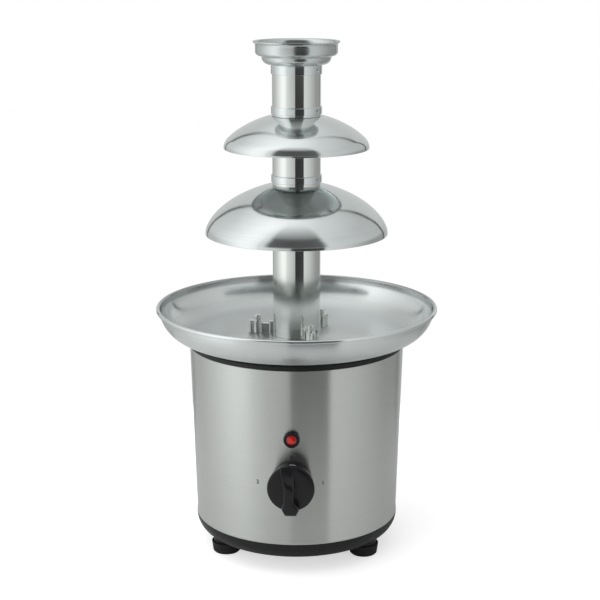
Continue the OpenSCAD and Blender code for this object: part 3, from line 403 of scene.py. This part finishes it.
def lens_material():
    """Clear red plastic, with painted shade that darkens it towards its rim."""
    net = Net("lens_red")
    place = net.place()
    speck = net.noise(place, 700.0, 2.0)
    parts = net.split(place)
    across = parts["X"]
    rise = net.math("SUBTRACT", parts["Z"], LAMP_Z * MM)
    from_axis = net.math("SQRT", net.math("MULTIPLY_ADD", rise, rise, net.math("MULTIPLY", across, across)))
    share = net.math("DIVIDE", from_axis, LENS_R * MM)
    plain = net.math("MULTIPLY", share, 1 - SPECK_SHARE)
    edge = net.math("ADD", plain, net.math("MULTIPLY", speck, SPECK_SHARE))
    tint = net.shades(edge, LENS_MIDDLE, LENS_EDGE, 0.22, 0.97)
    net.principled(tint, net.spread(speck, 0.14, 0.22), net.bump(speck, 2e-5, 0.2),
                   Coat_Weight=0.4, Coat_Roughness=0.08, Subsurface_Weight=0.15, Subsurface_Scale=0.002)
    return net.material


def glass_material():
    net = Net("bulb_glass")
    waves = net.noise(net.place(), 260.0, 2.0)
    tint = net.shades(waves, (0.92, 0.60, 0.38), (0.98, 0.74, 0.52))
    net.principled(tint, net.spread(waves, 0.03, 0.09), net.bump(waves, 2e-5, 0.2),
                   Transmission_Weight=0.85, IOR=1.47)
    return net.material


def laminated(name, color, rough):
    """A stack of thin iron sheets."""
    net = Net(name)
    layers = net.noise(net.scaled(net.place(), 4.0, 4.0, 2200.0), 1.0, 1.0)
    tint = net.shades(layers, shade(color, 0.75), shade(color, 1.15), 0.4, 0.6)
    roughness = net.spread(layers, rough * 0.8, rough * 1.2)
    net.principled(tint, roughness, net.bump(layers, 8e-5, 0.5), Metallic=1.0)
    return net.material


def wound(name, color, rough):
    """Enamelled wire wound in turns round the core."""
    net = Net(name)
    wave = net.add("ShaderNodeTexWave", wave_type="RINGS", rings_direction="Z")
    net.join(net.place(), wave.inputs["Vector"])
    wave.inputs["Scale"].default_value = 420.0
    wave.inputs["Distortion"].default_value = 1.2
    turns = wave.outputs["Fac"]
    tint = net.shades(turns, shade(color, 0.7), shade(color, 1.15), 0.2, 0.8)
    roughness = net.spread(turns, rough * 0.8, rough * 1.2)
    net.principled(tint, roughness, net.bump(turns, 1.5e-4, 0.6), Metallic=0.85)
    return net.material


LOOKS = {
    # The tiers' undersides, where they look down, get painted shade
    "spun_steel": turned_steel("spun_steel", (0.75, 0.785, 0.785), 0.12, line_scale=1600.0, line_depth=1.1e-5,
                               anisotropy=0.3, smudge=0.03, below=Below(shade=0.78, rough=0.45, slope=-0.82)),
    "polished_steel": turned_steel("polished_steel", (0.775, 0.795, 0.77), 0.09, line_scale=1500.0,
                                   line_depth=1e-6, anisotropy=1.0, smudge=0.015, edge=0.0003),
    "auger_steel": turned_steel("auger_steel", (0.72, 0.72, 0.71), 0.22, line_scale=1800.0, line_depth=1.5e-5,
                                anisotropy=0.3),
    "drum_steel": turned_steel("drum_steel", (0.61, 0.625, 0.605), 0.29, line_scale=1300.0, line_depth=7e-7,
                               anisotropy=0.95, smudge=0.02),
    "black_plastic": moulded("black_plastic", (0.008, 0.008, 0.009), 0.42, specular=0.34),
    "knob_plastic": moulded("knob_plastic", (0.007, 0.007, 0.0085), 0.30, grain=1800.0, depth=2e-5,
                            coat=0.04, edge=0.0006, specular=0.34),
    "rubber": moulded("rubber", (0.011, 0.011, 0.012), 0.62, grain=900.0, depth=6e-5,
                      edge=0.0006, specular=0.35),
    "lens_red": lens_material(),
    "bulb_glass": glass_material(),
    "silicone": moulded("silicone", (0.72, 0.72, 0.70), 0.45, grain=700.0),
    "zinc_steel": plain_metal("zinc_steel", (0.58, 0.58, 0.60), 0.30),
    "heater_aluminium": plain_metal("heater_aluminium", (0.68, 0.68, 0.68), 0.45, grain=600.0, depth=6e-5),
    "thermo_brown": moulded("thermo_brown", (0.10, 0.055, 0.032), 0.45),
    "fuse_brass": plain_metal("fuse_brass", (0.72, 0.52, 0.24), 0.28),
    "gear_nylon": moulded("gear_nylon", (0.78, 0.75, 0.66), 0.42),
    "case_plastic": moulded("case_plastic", (0.075, 0.075, 0.08), 0.5),
    "iron": laminated("iron", (0.30, 0.31, 0.33), 0.45),
    "copper": wound("copper", (0.62, 0.28, 0.12), 0.32),
    "wire_sleeve": moulded("wire_sleeve", (0.36, 0.035, 0.03), 0.55, grain=1100.0, depth=5e-5),
}
# The bowl gets a faint painted shade on its outside where it looks down, and a painted shade band on its
# upper inner wall for a dark reflection
BOWL_LOOK = turned_steel("bowl_steel", (0.79, 0.82, 0.82), 0.28, line_scale=2200.0, line_depth=3e-7,
                         anisotropy=1.0, smudge=0.006, below=Below(shade=0.93, rough=0.27, slope=0.0),
                         rim=Rim(start=0.0970, end=0.1010, rough=0.17),
                         wall=Wall(low=0.1845, high=0.1862, radius=0.1060, shade=0.60))
COLLAR_LOOK = turned_steel("collar_steel", (0.74, 0.775, 0.78), 0.09, line_scale=1800.0, line_depth=4e-6,
                           anisotropy=0.1, smudge=0.02)
FOOT_LOOK = turned_steel("foot_steel", (0.775, 0.795, 0.77), 0.05, line_scale=1500.0, line_depth=1e-6,
                         anisotropy=0.0, smudge=0.015, edge=0.0003)
CROWN_LOOK = turned_steel("crown_steel", (0.63, 0.66, 0.66), 0.22, line_scale=2600.0, line_depth=1.0e-5,
                          anisotropy=0.2, smudge=0.03)
WELD = plain_metal("weld_mark", (0.2, 0.2, 0.22), 0.45, grain=2400.0, depth=1e-5)
PRINT = moulded("print_ink", (0.016, 0.016, 0.018), 0.55, grain=2400.0, depth=1e-5)
MARK = moulded("mark_paint", (0.36, 0.36, 0.35), 0.5, grain=2400.0, depth=1e-5)

for part in frame["record"]["subparts"]:
    cad_mesh = frame["nodes"][part["node"]].data
    cad_mesh.materials.clear()
    cad_mesh.materials.append(LOOKS[part["material_slot"]])

# Base: drum with a rolled bead at its foot, and the pan with its curved edge
BEAD_R = 0.5
BEAD_OUT = 0.3
BEAD_TOP_Z = 27.6
PLAIN_WALL_Z = 29.6
drum_line = arc(DRUM_R_LOW - 0.05, SHOULDER_Z + BEAD_R, BEAD_R, -60, 0, 6)
drum_line += [(drum_r(BEAD_TOP_Z) + BEAD_OUT, BEAD_TOP_Z), (drum_r(PLAIN_WALL_Z), PLAIN_WALL_Z)]
drum_line += [(DRUM_R_HIGH - 0.15, DRUM_TOP_Z - 0.25), (DRUM_R_HIGH - 0.35, DRUM_TOP_Z)]
piece("drum", spun("drum", sheet(drum_line, DRUM_WALL), sharp=40.0), "base",
      LOOKS["drum_steel"], ["drum_shell"])
piece("pan", welded("base_pan", "pan", sharp=24.0), "base", LOOKS["black_plastic"],
      ["base_pan"])

# Bowl: a flat floor, a round curve, a leaning wall and a rolled lip
# The floor's rings start at the drive shaft's hole, and keep it flat in smooth shading
BOWL_R = 107.89
BOWL_FLOOR_RINGS = (8.0, 30.0, 56.0)
BOWL_SHEET = 1.0
LIP_R = 1.6
LEAN = 5.0
CURVE_R = 23.9
bowl_flat_r = BOWL_R - 2 * LIP_R - CURVE_R * math.cos(math.radians(LEAN))
bowl_top_z = BOWL_FLOOR_Z + CURVE_R * (1 - math.sin(math.radians(LEAN)))
bowl_line = [(r, BOWL_FLOOR_Z) for r in BOWL_FLOOR_RINGS]
bowl_line += arc(bowl_flat_r, BOWL_FLOOR_Z + CURVE_R, CURVE_R, -90, -LEAN, 44)
bowl_line += arc(BOWL_R - LIP_R, bowl_top_z, LIP_R, 180, -40, 26)[1:]
piece("bowl_shell", spun("bowl_shell", sheet(bowl_line, -BOWL_SHEET), sharp=50.0), "base",
      BOWL_LOOK, ["bowl"])

# Guide pins with rounded ends
PIN_RING_R = 30.5
PIN_ANGLES = (23.0, 143.0, 263.0)
PIN_FOOT_Z = 144.3
PIN_TOP_Z = 181.3
PIN_SHANK_R = 2.0
PIN_R = 2.6
PIN_ROUND = 1.0
pin_line = [(PIN_SHANK_R, PIN_FOOT_Z), (PIN_SHANK_R, BOWL_FLOOR_Z), (PIN_R, BOWL_FLOOR_Z)]
pin_line += [(PIN_R, PIN_TOP_Z - PIN_ROUND - 0.1)]
pin_line += arc(PIN_R - PIN_ROUND, PIN_TOP_Z - PIN_ROUND, PIN_ROUND, 0, 90, 6)
pin_line += [(0.0, PIN_TOP_Z), (0.0, PIN_FOOT_Z)]
pins = bmesh.new()
for angle in PIN_ANGLES:
    start = len(pins.verts)
    revolve(pins, pin_line, segments=40)
    pins.verts.ensure_lookup_table()
    bmesh.ops.translate(pins, verts=pins.verts[start:], vec=Vector(polar(PIN_RING_R, angle)) * MM)
piece("pins", finish_mesh(pins, "pins"), "base", FOOT_LOOK, ["guide_pins"])

# Tower tubes: name, lower end and upper end
TUBES = (("lower", 175.3, 288.93), ("middle", 288.93, 340.24), ("upper", 340.24, 376.1))
for name, low, high in TUBES:
    tube_line = [(TUBE_R, low), (TUBE_R, high), (TUBE_IN_R, high), (TUBE_IN_R, low)]
    piece("tube_" + name, spun("tube_" + name, tube_line), "tower",
          LOOKS["polished_steel"], [name + "_tube"])


# Tiers: name, rim radius, rim height, and the arcs from the rim up, each a radius and the angle it ends at
TIERS = (
    ("large", 69.3, 246.8, ((13.9, 27.3), (38.8, 45.3), (66.5, 60.8), (106.8, None))),
    ("small", 54.75, 311.8, ((10.0, 40.0), (14.0, 46.0), (52.0, 57.0), (82.0, None))),
)


def tier_line(edge_r, edge_z, bends):
    """From the rim up to the hole: arcs that run into one another, the last one to the hole's radius."""
    line = [(edge_r, edge_z)]
    start = 0.0
    for radius, end in bends:
        centre_r = line[-1][0] - radius * math.cos(math.radians(start))
        centre_z = line[-1][1] - radius * math.sin(math.radians(start))
        if end is None:
            end = math.degrees(math.acos((TIER_HOLE_R - centre_r) / radius))
        line += arc(centre_r, centre_z, radius, start, end, 20)[1:]
        start = end
    return line


for name, edge_r, edge_z, bends in TIERS:
    outer = tier_line(edge_r, edge_z, bends)
    hem = arc(edge_r - SHEET / 2, edge_z, SHEET / 2, 180, 360, 8, 0.7)[1:-1]
    piece("tier_" + name, spun("tier_" + name, sheet(outer, SHEET) + hem, sharp=50.0), "tower",
          LOOKS["spun_steel"], [name + "_tier"])

# Collars round the tubes: name, the node it replaces, lower end and height
COLLARS = (
    ("collar_large", "large_tier_collar", 286.18, 5.5),
    ("collar_small", "small_tier_collar", 337.49, 5.5),
    ("collar_crown", "crown_collar", 366.9, 6.9),
)
COLLAR_R = 19.15
COLLAR_ROUND = 0.35
COLLAR_ROWS = 15
COLLAR_SEGMENTS = 480
DENT_R = 0.75
DENT_DEPTH = 0.6
DENT_ANGLES = (58.0, 238.0)


def collar_mesh(name, low, height):
    """A short sleeve with rounded rims, pressed in at its two spot welds."""
    bm = bmesh.new()
    straight = height - 2 * COLLAR_ROUND
    line = arc(COLLAR_R - COLLAR_ROUND, low + COLLAR_ROUND, COLLAR_ROUND, -90, 0, 5)
    line += [(COLLAR_R, low + COLLAR_ROUND + straight * i / COLLAR_ROWS) for i in range(1, COLLAR_ROWS)]
    line += arc(COLLAR_R - COLLAR_ROUND, low + height - COLLAR_ROUND, COLLAR_ROUND, 0, 90, 5)
    line += [(TIER_HOLE_R, low + height), (TIER_HOLE_R, low)]
    revolve(bm, line, COLLAR_SEGMENTS)
    for angle in DENT_ANGLES:
        centre = Vector(polar(COLLAR_R, angle, low + height * 0.5)) * MM
        for v in bm.verts:
            gap = (v.co - centre).length / MM
            if gap < 3 * DENT_R and v.co.xy.length > (COLLAR_R - 0.1) * MM:
                depth = DENT_DEPTH * math.exp(-((gap / DENT_R) ** 2))
                v.co.xy *= 1 - depth * MM / v.co.xy.length
        for face in bm.faces:
            if (face.calc_center_median() - centre).length < DENT_R * MM:
                face.material_index = 1
    return finish_mesh(bm, name, sharp=40.0)


for name, node, low, height in COLLARS:
    collar = piece(name, collar_mesh(name, low, height), "tower", COLLAR_LOOK, [node])
    collar.data.materials.append(WELD)

# Crown: a round foot, a hollow neck and a cup with a flared rim
# Its arcs: centre radius and height, radius, first and last angle, steps, squash
CROWN_Z = 373.8
CROWN_ARCS = (
    (20.4, 379.4, 5.6, -90, -8, 16, 1.0),
    (27.3, 379.0, 1.3, 180, 110, 6, 1.0),
    (27.6, 383.4, 3.2, -100, -5, 14, 1.0),
    (32.5, 387.15, 1.75, 180, 90, 12, 3.0 / 1.75),
)
crown_line = [(TIER_HOLE_R, CROWN_Z)]
for crown_arc in CROWN_ARCS:
    crown_line += arc(*crown_arc)
piece("crown_cup", spun("crown_cup", sheet(crown_line, SHEET), sharp=50.0), "tower",
      CROWN_LOOK, ["crown"])

piece("tower_base", welded("tower_foot", "tower_base", sharp=28.0), "tower", FOOT_LOOK,
      ["tower_foot"])

# Auger flight, with finer steps than the source's and softened outer edges
FLIGHT_Z = 170.0
FLIGHT_PITCH = 24.0
FLIGHT_TURN = 3120
FLIGHT_STEP = 4
FLIGHT_SECTION = ((5.7, 0.0), (15.7, 0.0), (16.0, 0.3), (16.0, 1.5), (15.7, 1.8), (5.7, 1.8))
flight = bmesh.new()
flight_sections = []
for degrees in range(0, FLIGHT_TURN + 1, FLIGHT_STEP):
    a = math.radians(degrees)
    rise = FLIGHT_Z + FLIGHT_PITCH * degrees / 360.0
    flight_sections.append([(r * math.cos(a), r * math.sin(a), rise + t) for r, t in FLIGHT_SECTION])
loft(flight, flight_sections)
piece("flight", finish_mesh(flight, "flight", sharp=36.0), "auger", LOOKS["auger_steel"],
      ["auger_flight"])

# Knob: a disc, hollow behind, with a waisted bar that is scooped away towards its upper end
KNOB_BACK = 82.313
KNOB_FACE = 96.013
KNOB_BACK_R = 15.85
KNOB_FACE_R = 17.2
KNOB_ROUND = 1.1
HOLLOW_R = 8.7
HOLLOW_FACE = 84.3
NUT_ROOM_R = 5.3
NUT_ROOM_FACE = 86.2
SPINDLE_R = 3.05
SPINDLE_END = 94.0
knob = bmesh.new()
knob_line = [(HOLLOW_R, KNOB_BACK), (KNOB_BACK_R - 0.25, KNOB_BACK), (KNOB_BACK_R, KNOB_BACK + 0.3)]
knob_line += [(KNOB_FACE_R, KNOB_FACE - 2.0)]
knob_line += arc(16.3, KNOB_FACE - 1.3, KNOB_ROUND, -5, 78, 8)
knob_line += [(13.0, KNOB_FACE - 0.12), (8.0, KNOB_FACE), (0.0, KNOB_FACE), (0.0, SPINDLE_END)]
knob_line += [(SPINDLE_R, SPINDLE_END), (SPINDLE_R, NUT_ROOM_FACE), (NUT_ROOM_R, NUT_ROOM_FACE)]
knob_line += [(NUT_ROOM_R, HOLLOW_FACE), (HOLLOW_R, HOLLOW_FACE)]
revolve(knob, knob_line, segments=128)

# Along the bar from its lower end: place, half width, and how far its middle stands to the right
BAR_STATIONS = ((-18.4, 4.6, 0.0), (-13.4, 6.5, -0.1), (-6.6, 3.9, -1.5), (2.0, 4.4, -1.2), (16.4, 4.6, -2.9))
BAR_H = 7.6
BAR_LEAST_H = 0.15
BAR_SINK = 0.8
BAR_END_L = 2.4
BAR_END_DROP = 1.6
BAR_ROUND = 0.36
BAR_STEPS = 84
BAR_POINTS = 28
SCOOP_R = 17.0
SCOOP_Y = 19.8
SCOOP_SKEW = 0.55


def between(stations, y, column):
    """A column's value at y, eased from one station to the next."""
    for a, b in zip(stations, stations[1:]):
        if y <= b[0]:
            t = (y - a[0]) / (b[0] - a[0])
            t = t * t * (3 - 2 * t)
            return a[column] + (b[column] - a[column]) * t
    return stations[-1][column]


def bar_height(x, y):
    """Full height, sloping away in a hollow towards the upper end and rounded off at the lower one."""
    short = min(max(SCOOP_Y - y - SCOOP_SKEW * x, 0.0), SCOOP_R)
    high = SCOOP_R - math.sqrt(SCOOP_R ** 2 - short ** 2)
    high = BAR_H * high / (BAR_H ** 4 + high ** 4) ** 0.25
    over = max(0.0, 1 - (y - BAR_STATIONS[0][0]) / BAR_END_L)
    return max(high - BAR_END_DROP * over * over, BAR_LEAST_H)


def bar_section(y):
    """A flat-bottomed section with full sides, sunk into the disc."""
    half = between(BAR_STATIONS, y, 1)
    middle = between(BAR_STATIONS, y, 2)
    section = []
    for k in range(BAR_POINTS + 1):
        a = math.pi * k / BAR_POINTS
        across = math.copysign(abs(math.cos(a)) ** BAR_ROUND, math.cos(a)) * half
        height = bar_height(across, y) * math.sin(a) ** BAR_ROUND
        section.append((middle + across, y, KNOB_FACE + height))
    return section + [(middle + side * half, y, KNOB_FACE - BAR_SINK) for side in (-1, 1)]


bar_low = BAR_STATIONS[0][0]
bar_length = BAR_STATIONS[-1][0] - bar_low
bar_sections = []
for i in range(BAR_STEPS + 1):
    bar_sections.append(bar_section(bar_low + bar_length * (1 - math.cos(math.pi * i / BAR_STEPS)) / 2))
loft(knob, bar_sections)
piece("knob_grip", finish_mesh(knob, "knob_grip", sharp=42.0), "knob",
      LOOKS["knob_plastic"], ["knob"], on_wall(KNOB_Z))

# Pointer: a thin painted bar with cut corners on the side of the knob
POINTER_L = 4.2
POINTER_W = 2.0
POINTER_T = 0.24
POINTER_CUT = 0.5
POINTER_R = 16.82
POINTER_BACK = 5.0
POINTER_TURN = -4.0
POINTER_LEAN = -96.75
end_x = POINTER_L / 2
end_y = POINTER_W / 2
cut_x = end_x - POINTER_CUT
cut_y = end_y - POINTER_CUT
pointer_corners = [(-cut_x, -end_y), (cut_x, -end_y), (end_x, -cut_y), (end_x, cut_y),
                   (cut_x, end_y), (-cut_x, end_y), (-end_x, cut_y), (-end_x, -cut_y)]
pointer = bmesh.new()
loft(pointer, [[(x, y, z) for x, y in pointer_corners] for z in (-POINTER_T / 2, POINTER_T / 2)])
pointer_place = (Matrix.Rotation(math.radians(POINTER_TURN), 4, "Z")
                 @ Matrix.Translation((0, POINTER_R * MM, (KNOB_FACE - POINTER_BACK) * MM))
                 @ Matrix.Rotation(math.radians(POINTER_LEAN), 4, "X"))
piece("pointer", finish_mesh(pointer, "pointer"), "knob", MARK, (),
      on_wall(KNOB_Z) @ pointer_place)

# Position numbers printed round the knob: text, place across and height
NUMBERS = (("0", 0.0, 94.6), ("1", 22.9, 73.8), ("2", -25.4, 73.8))
NUMBER_SIZE = 4.2
INK_DEPTH = 0.03
INK_WEIGHT = 0.09


def number_mesh(text):
    curve = bpy.data.curves.new("digit_" + text, "FONT")
    curve.body = text
    curve.size = NUMBER_SIZE * MM
    curve.align_x = "CENTER"
    curve.align_y = "CENTER"
    curve.extrude = INK_DEPTH * MM
    curve.offset = INK_WEIGHT * MM
    curve.resolution_u = 4
    holder = bpy.data.objects.new("digit_" + text, curve)
    bpy.context.scene.collection.objects.link(holder)
    bpy.context.view_layer.update()
    mesh = bpy.data.meshes.new_from_object(holder.evaluated_get(bpy.context.evaluated_depsgraph_get()))
    bpy.data.objects.remove(holder)
    bpy.data.curves.remove(curve)
    return mesh


wall_lean = Matrix.Rotation(math.atan2(DRUM_R_HIGH - DRUM_R_LOW, DRUM_H), 4, "X")
for text, x, z in NUMBERS:
    number_angle = math.degrees(math.asin(x / drum_r(z)))
    on_surface = Matrix.Translation((0, 0, (drum_r(z) + INK_DEPTH) * MM)) @ wall_lean
    piece("number_" + text, number_mesh(text), "base", PRINT, (),
          on_wall(z, number_angle) @ on_surface)

# Pilot lamp: a deep black bezel round a domed red lens
BEZEL_BACK = 81.182
BEZEL_R = 6.1
BEZEL_BODY_R = 5.4
BEZEL_BORE_R = 4.15
BEZEL_DEEP = 15.0
BEZEL_END_T = 1.5
bezel_end = BEZEL_BACK - BEZEL_DEEP
bore_end = bezel_end + BEZEL_END_T
bezel = bmesh.new()
bezel_line = [(BEZEL_R, BEZEL_BACK), (BEZEL_R - 0.05, BEZEL_BACK + 1.6)]
bezel_line += arc(5.0, BEZEL_BACK + 2.1, 0.95, 0, 90, 6, 0.95)
bezel_line += arc(4.75, BEZEL_BACK + 2.5, 0.5, 90, 180, 5)
bezel_line += [(BEZEL_BORE_R, BEZEL_BACK + 1.4), (BEZEL_BORE_R, bore_end), (0.0, bore_end)]
bezel_line += [(0.0, bezel_end), (BEZEL_BODY_R, bezel_end), (BEZEL_BODY_R, BEZEL_BACK)]
revolve(bezel, bezel_line, segments=96)
piece("bezel", finish_mesh(bezel, "bezel"), "base", LOOKS["knob_plastic"], ["lamp_bezel"],
      on_wall(LAMP_Z))

LENS_BACK = BEZEL_BACK - 1.0
LENS_RIM = BEZEL_BACK + 2.2
LENS_DOME = 1.5
lens = bmesh.new()
lens_line = [(0.0, LENS_BACK), (LENS_R, LENS_BACK), (LENS_R, LENS_RIM)]
lens_line += arc(0.0, LENS_RIM, LENS_R, 0, 90, 20, LENS_DOME / LENS_R)[1:-1] + [(0.0, LENS_RIM + LENS_DOME)]
revolve(lens, lens_line, segments=96)
piece("lens", finish_mesh(lens, "lens", sharp=45.0), "base", LOOKS["lens_red"], ["lamp_lens"],
      on_wall(LAMP_Z))


# Stage: a white floor, and a light tent that the object mirrors and the camera doesn't see
STAGE_SEGMENTS = 72
FLOOR_PAPER = ((0.69, 0.69, 0.69), (0.71, 0.71, 0.71))
FLOOR_LIFT = 0.6
FLOOR_GLOSS = 0.04
FLOOR_R = 360.0
LIFT_START_R = 200.0
LIFT_END_R = FLOOR_R * 0.97


def stage_object(name, mesh, material):
    obj = bpy.data.objects.new(name, mesh)
    bpy.context.scene.collection.objects.link(obj)
    mesh.materials.append(material)
    return obj


def seen_rays(net):
    """One for what the camera sees, straight or through glass, and a share of it for what metal reflects."""
    path = net.add("ShaderNodeLightPath")
    direct = net.math("MAXIMUM", path.outputs["Is Camera Ray"], path.outputs["Is Transmission Ray"])
    return net.math("MAXIMUM", direct, net.math("MULTIPLY", path.outputs["Is Glossy Ray"], FLOOR_GLOSS))


def floor_material():
    """White paper that keeps the shadow, lifted to the backdrop's white towards its edge."""
    net = Net("floor")
    place = net.place()
    diffuse = net.add("ShaderNodeBsdfDiffuse")
    net.join(net.shades(net.noise(place, 60.0), *FLOOR_PAPER), diffuse.inputs["Color"])
    lift = net.spread(net.length(place), FLOOR_LIFT, 1.0, LIFT_START_R * MM, LIFT_END_R * MM)
    glow = net.add("ShaderNodeEmission")
    net.join(net.math("MULTIPLY", seen_rays(net), lift), glow.inputs["Strength"])
    both = net.add("ShaderNodeAddShader")
    net.join(diffuse.outputs[0], both.inputs[0])
    net.join(glow.outputs[0], both.inputs[1])
    net.join(both.outputs[0], net.out.inputs["Surface"])
    return net.material


floor_bm = bmesh.new()
skin(floor_bm, ring(floor_bm, 0.0, 0.0, STAGE_SEGMENTS), ring(floor_bm, FLOOR_R, 0.0, STAGE_SEGMENTS))
stage_object("floor", finish_mesh(floor_bm, "floor"), floor_material())

# Tent: its outline, and the height from which its elevations are measured
TENT_R = 1600.0
TENT_EYE = 250.0
TENT_LINE = ((0.0, -1400.0), (1500.0, -1400.0), (TENT_R, -1300.0), (TENT_R, 1500.0), (1500.0, 2100.0),
             (1100.0, 2500.0), (0.0, 2600.0))
TENT_TINT = (0.98, 1.0, 0.99, 1)
# Direction round the object, and how bright the tent is there
WALL_STOPS = ((-180, 0.66), (-148, 0.64), (-146.5, 0.12), (-143.5, 0.12), (-142, 0.66), (-120, 0.74),
              (-97, 0.93), (-72, 1.18), (-60, 1.2), (-49, 1.1), (-44.5, 0.88), (-15, 0.64), (-4, 0.56),
              (20, 0.64), (38, 0.80), (60, 0.70), (85, 0.64), (105, 0.58), (138, 0.55), (139, 0.06),
              (142, 0.06), (143, 0.62), (180, 0.66))
ROOF_LEFT = 1.2
ROOF_RIGHT = 0.86
# Elevations between which the roof takes over from the walls, the horizon lies, and the opening ends
ROOF_RISE = (38, 84)
HORIZON = (0, 8)
OPENING_TOP = (45, 82)
OPENING_FADE = 0.65
# Darker stretches: direction, half width, softness and the share of light that is lost
Stretch = namedtuple("Stretch", "direction half soft share")
OPENING = Stretch(direction=2.0, half=37.0, soft=4.0, share=0.83)
SLIT = Stretch(direction=16.5, half=20.5, soft=1.0, share=0.93)
LOW_SIDES = (Stretch(direction=118.0, half=34.0, soft=22.0, share=0.36),
             Stretch(direction=-122.0, half=30.0, soft=24.0, share=0.2))


def tent_material():
    """Walls by direction: a bright left side, a dimmer right side and a dark opening in front.

    Below the horizon the opening narrows to a slit, and high up the roof takes over.
    """
    net = Net("tent")
    place = net.place()
    x, y, z = net.split(place)
    turn = net.math("ARCTAN2", x, net.math("MULTIPLY", y, -1.0))
    walls = net.add("ShaderNodeValToRGB")
    net.join(net.math("MULTIPLY_ADD", turn, 1 / (2 * math.pi), 0.5), walls.inputs["Fac"])
    ramp = walls.color_ramp
    while len(ramp.elements) < len(WALL_STOPS):
        ramp.elements.new(0.5)
    for element, (angle, level) in zip(ramp.elements, WALL_STOPS):
        element.position = angle / 360.0 + 0.5
        element.color = (level, level, level, 1)
    from_axis = net.length(net.scaled(place, 1, 1, 0))
    elevation = net.math("ARCTAN2", net.math("SUBTRACT", z, TENT_EYE * MM), from_axis)

    def rising(low, high):
        return net.spread(elevation, 0.0, 1.0, math.radians(low), math.radians(high))

    def darkened(level, stretch, reach):
        off = net.math("ABSOLUTE", net.math("SUBTRACT", turn, math.radians(stretch.direction)))
        band = net.spread(off, 1.0, 0.0, math.radians(stretch.half - stretch.soft),
                          math.radians(stretch.half + stretch.soft))
        lost = net.math("MULTIPLY", net.math("MULTIPLY", band, reach), stretch.share)
        return net.math("MULTIPLY", level, net.math("SUBTRACT", 1.0, lost))

    roof = rising(*ROOF_RISE)
    roof_level = net.spread(net.math("DIVIDE", x, TENT_R * MM), ROOF_LEFT, ROOF_RIGHT, -0.5, 0.5)
    raised = rising(*HORIZON)
    lowered = net.math("SUBTRACT", 1.0, raised)
    open_part = net.math("SUBTRACT", raised, net.math("POWER", rising(*OPENING_TOP), OPENING_FADE))
    level = net.math("ADD", net.math("MULTIPLY", walls.outputs["Color"], net.math("SUBTRACT", 1.0, roof)),
                     net.math("MULTIPLY", roof_level, roof))
    level = darkened(level, SLIT, lowered)
    level = darkened(level, OPENING, open_part)
    for stretch in LOW_SIDES:
        level = darkened(level, stretch, lowered)
    glow = net.add("ShaderNodeEmission")
    glow.inputs["Color"].default_value = TENT_TINT
    net.join(level, glow.inputs["Strength"])
    net.join(glow.outputs[0], net.out.inputs["Surface"])
    return net.material


tent_bm = bmesh.new()
tent_rings = [ring(tent_bm, r, z, STAGE_SEGMENTS) for r, z in TENT_LINE]
for a, b in zip(tent_rings, tent_rings[1:]):
    skin(tent_bm, a, b)
tent = stage_object("tent", finish_mesh(tent_bm, "tent", sharp=180.0), tent_material())
tent.visible_camera = False
tent.visible_shadow = False

# Lamps that light the plastics, the paint and the floor, and that no surface mirrors
LAMPS = (("key", 5.0, (-0.55, -0.55, 1.45)), ("fill", 6.0, (-0.4, -1.25, 0.55)))
LAMP_SIZE = 1.1
LAMP_AIM = Vector((0, 0, 0.15))
for name, watts, spot in LAMPS:
    lamp = bpy.data.lights.new(name, "AREA")
    lamp.size = LAMP_SIZE
    lamp.energy = watts
    lamp_object = bpy.data.objects.new(name, lamp)
    bpy.context.scene.collection.objects.link(lamp_object)
    lamp_object.location = spot
    lamp_object.rotation_mode = "QUATERNION"
    lamp_object.rotation_quaternion = (LAMP_AIM - Vector(spot)).to_track_quat("-Z", "Y")
    lamp_object.visible_glossy = False

# World: a white backdrop that the camera, metal and glass see, and that lights nothing
world = bpy.data.worlds.new("studio")
bpy.context.scene.world = world
world.use_nodes = True
world_nodes = world.node_tree.nodes
world_links = world.node_tree.links
world_nodes.clear()
path = world_nodes.new("ShaderNodeLightPath")
seen = path.outputs["Is Camera Ray"]
for ray in ("Is Glossy Ray", "Is Transmission Ray"):
    either = world_nodes.new("ShaderNodeMath")
    either.operation = "MAXIMUM"
    world_links.new(seen, either.inputs[0])
    world_links.new(path.outputs[ray], either.inputs[1])
    seen = either.outputs[0]
backdrop = world_nodes.new("ShaderNodeBackground")
backdrop.inputs["Color"].default_value = (1, 1, 1, 1)
world_links.new(seen, backdrop.inputs["Strength"])
world_out = world_nodes.new("ShaderNodeOutputWorld")
world_links.new(backdrop.outputs[0], world_out.inputs["Surface"])

# Camera at the photograph's place: a little to the right of the front, looking down
CAMERA_D = 1.0946
CAMERA_H = 0.4601
CAMERA_TURN = math.radians(2.6)
CAMERA_DOWN = math.radians(13.663)
SENSOR_W = 36.0
FOCAL_PX = 1462.9
AXIS_COLUMN = 296.5
FRAME_PX = 600.0
yaw = math.atan((FRAME_PX / 2 - AXIS_COLUMN) / FOCAL_PX)
forward = Vector((-math.sin(CAMERA_TURN), math.cos(CAMERA_TURN), 0.0))
sideways = Vector((math.cos(CAMERA_TURN), math.sin(CAMERA_TURN), 0.0))
forward = forward * math.cos(yaw) + sideways * math.sin(yaw)
forward = forward * math.cos(CAMERA_DOWN) - Vector((0, 0, math.sin(CAMERA_DOWN)))
camera = bpy.data.cameras.new("camera")
camera.sensor_width = SENSOR_W
camera.lens = FOCAL_PX * SENSOR_W / FRAME_PX
camera.clip_start = 0.05
camera.clip_end = 20.0
camera_object = bpy.data.objects.new("camera", camera)
bpy.context.scene.collection.objects.link(camera_object)
camera_object.location = (CAMERA_D * math.sin(CAMERA_TURN), -CAMERA_D * math.cos(CAMERA_TURN), CAMERA_H)
camera_object.rotation_mode = "QUATERNION"
camera_object.rotation_quaternion = forward.to_track_quat("-Z", "Y")
bpy.context.scene.camera = camera_object

bpy.context.scene.view_settings.view_transform = "Standard"
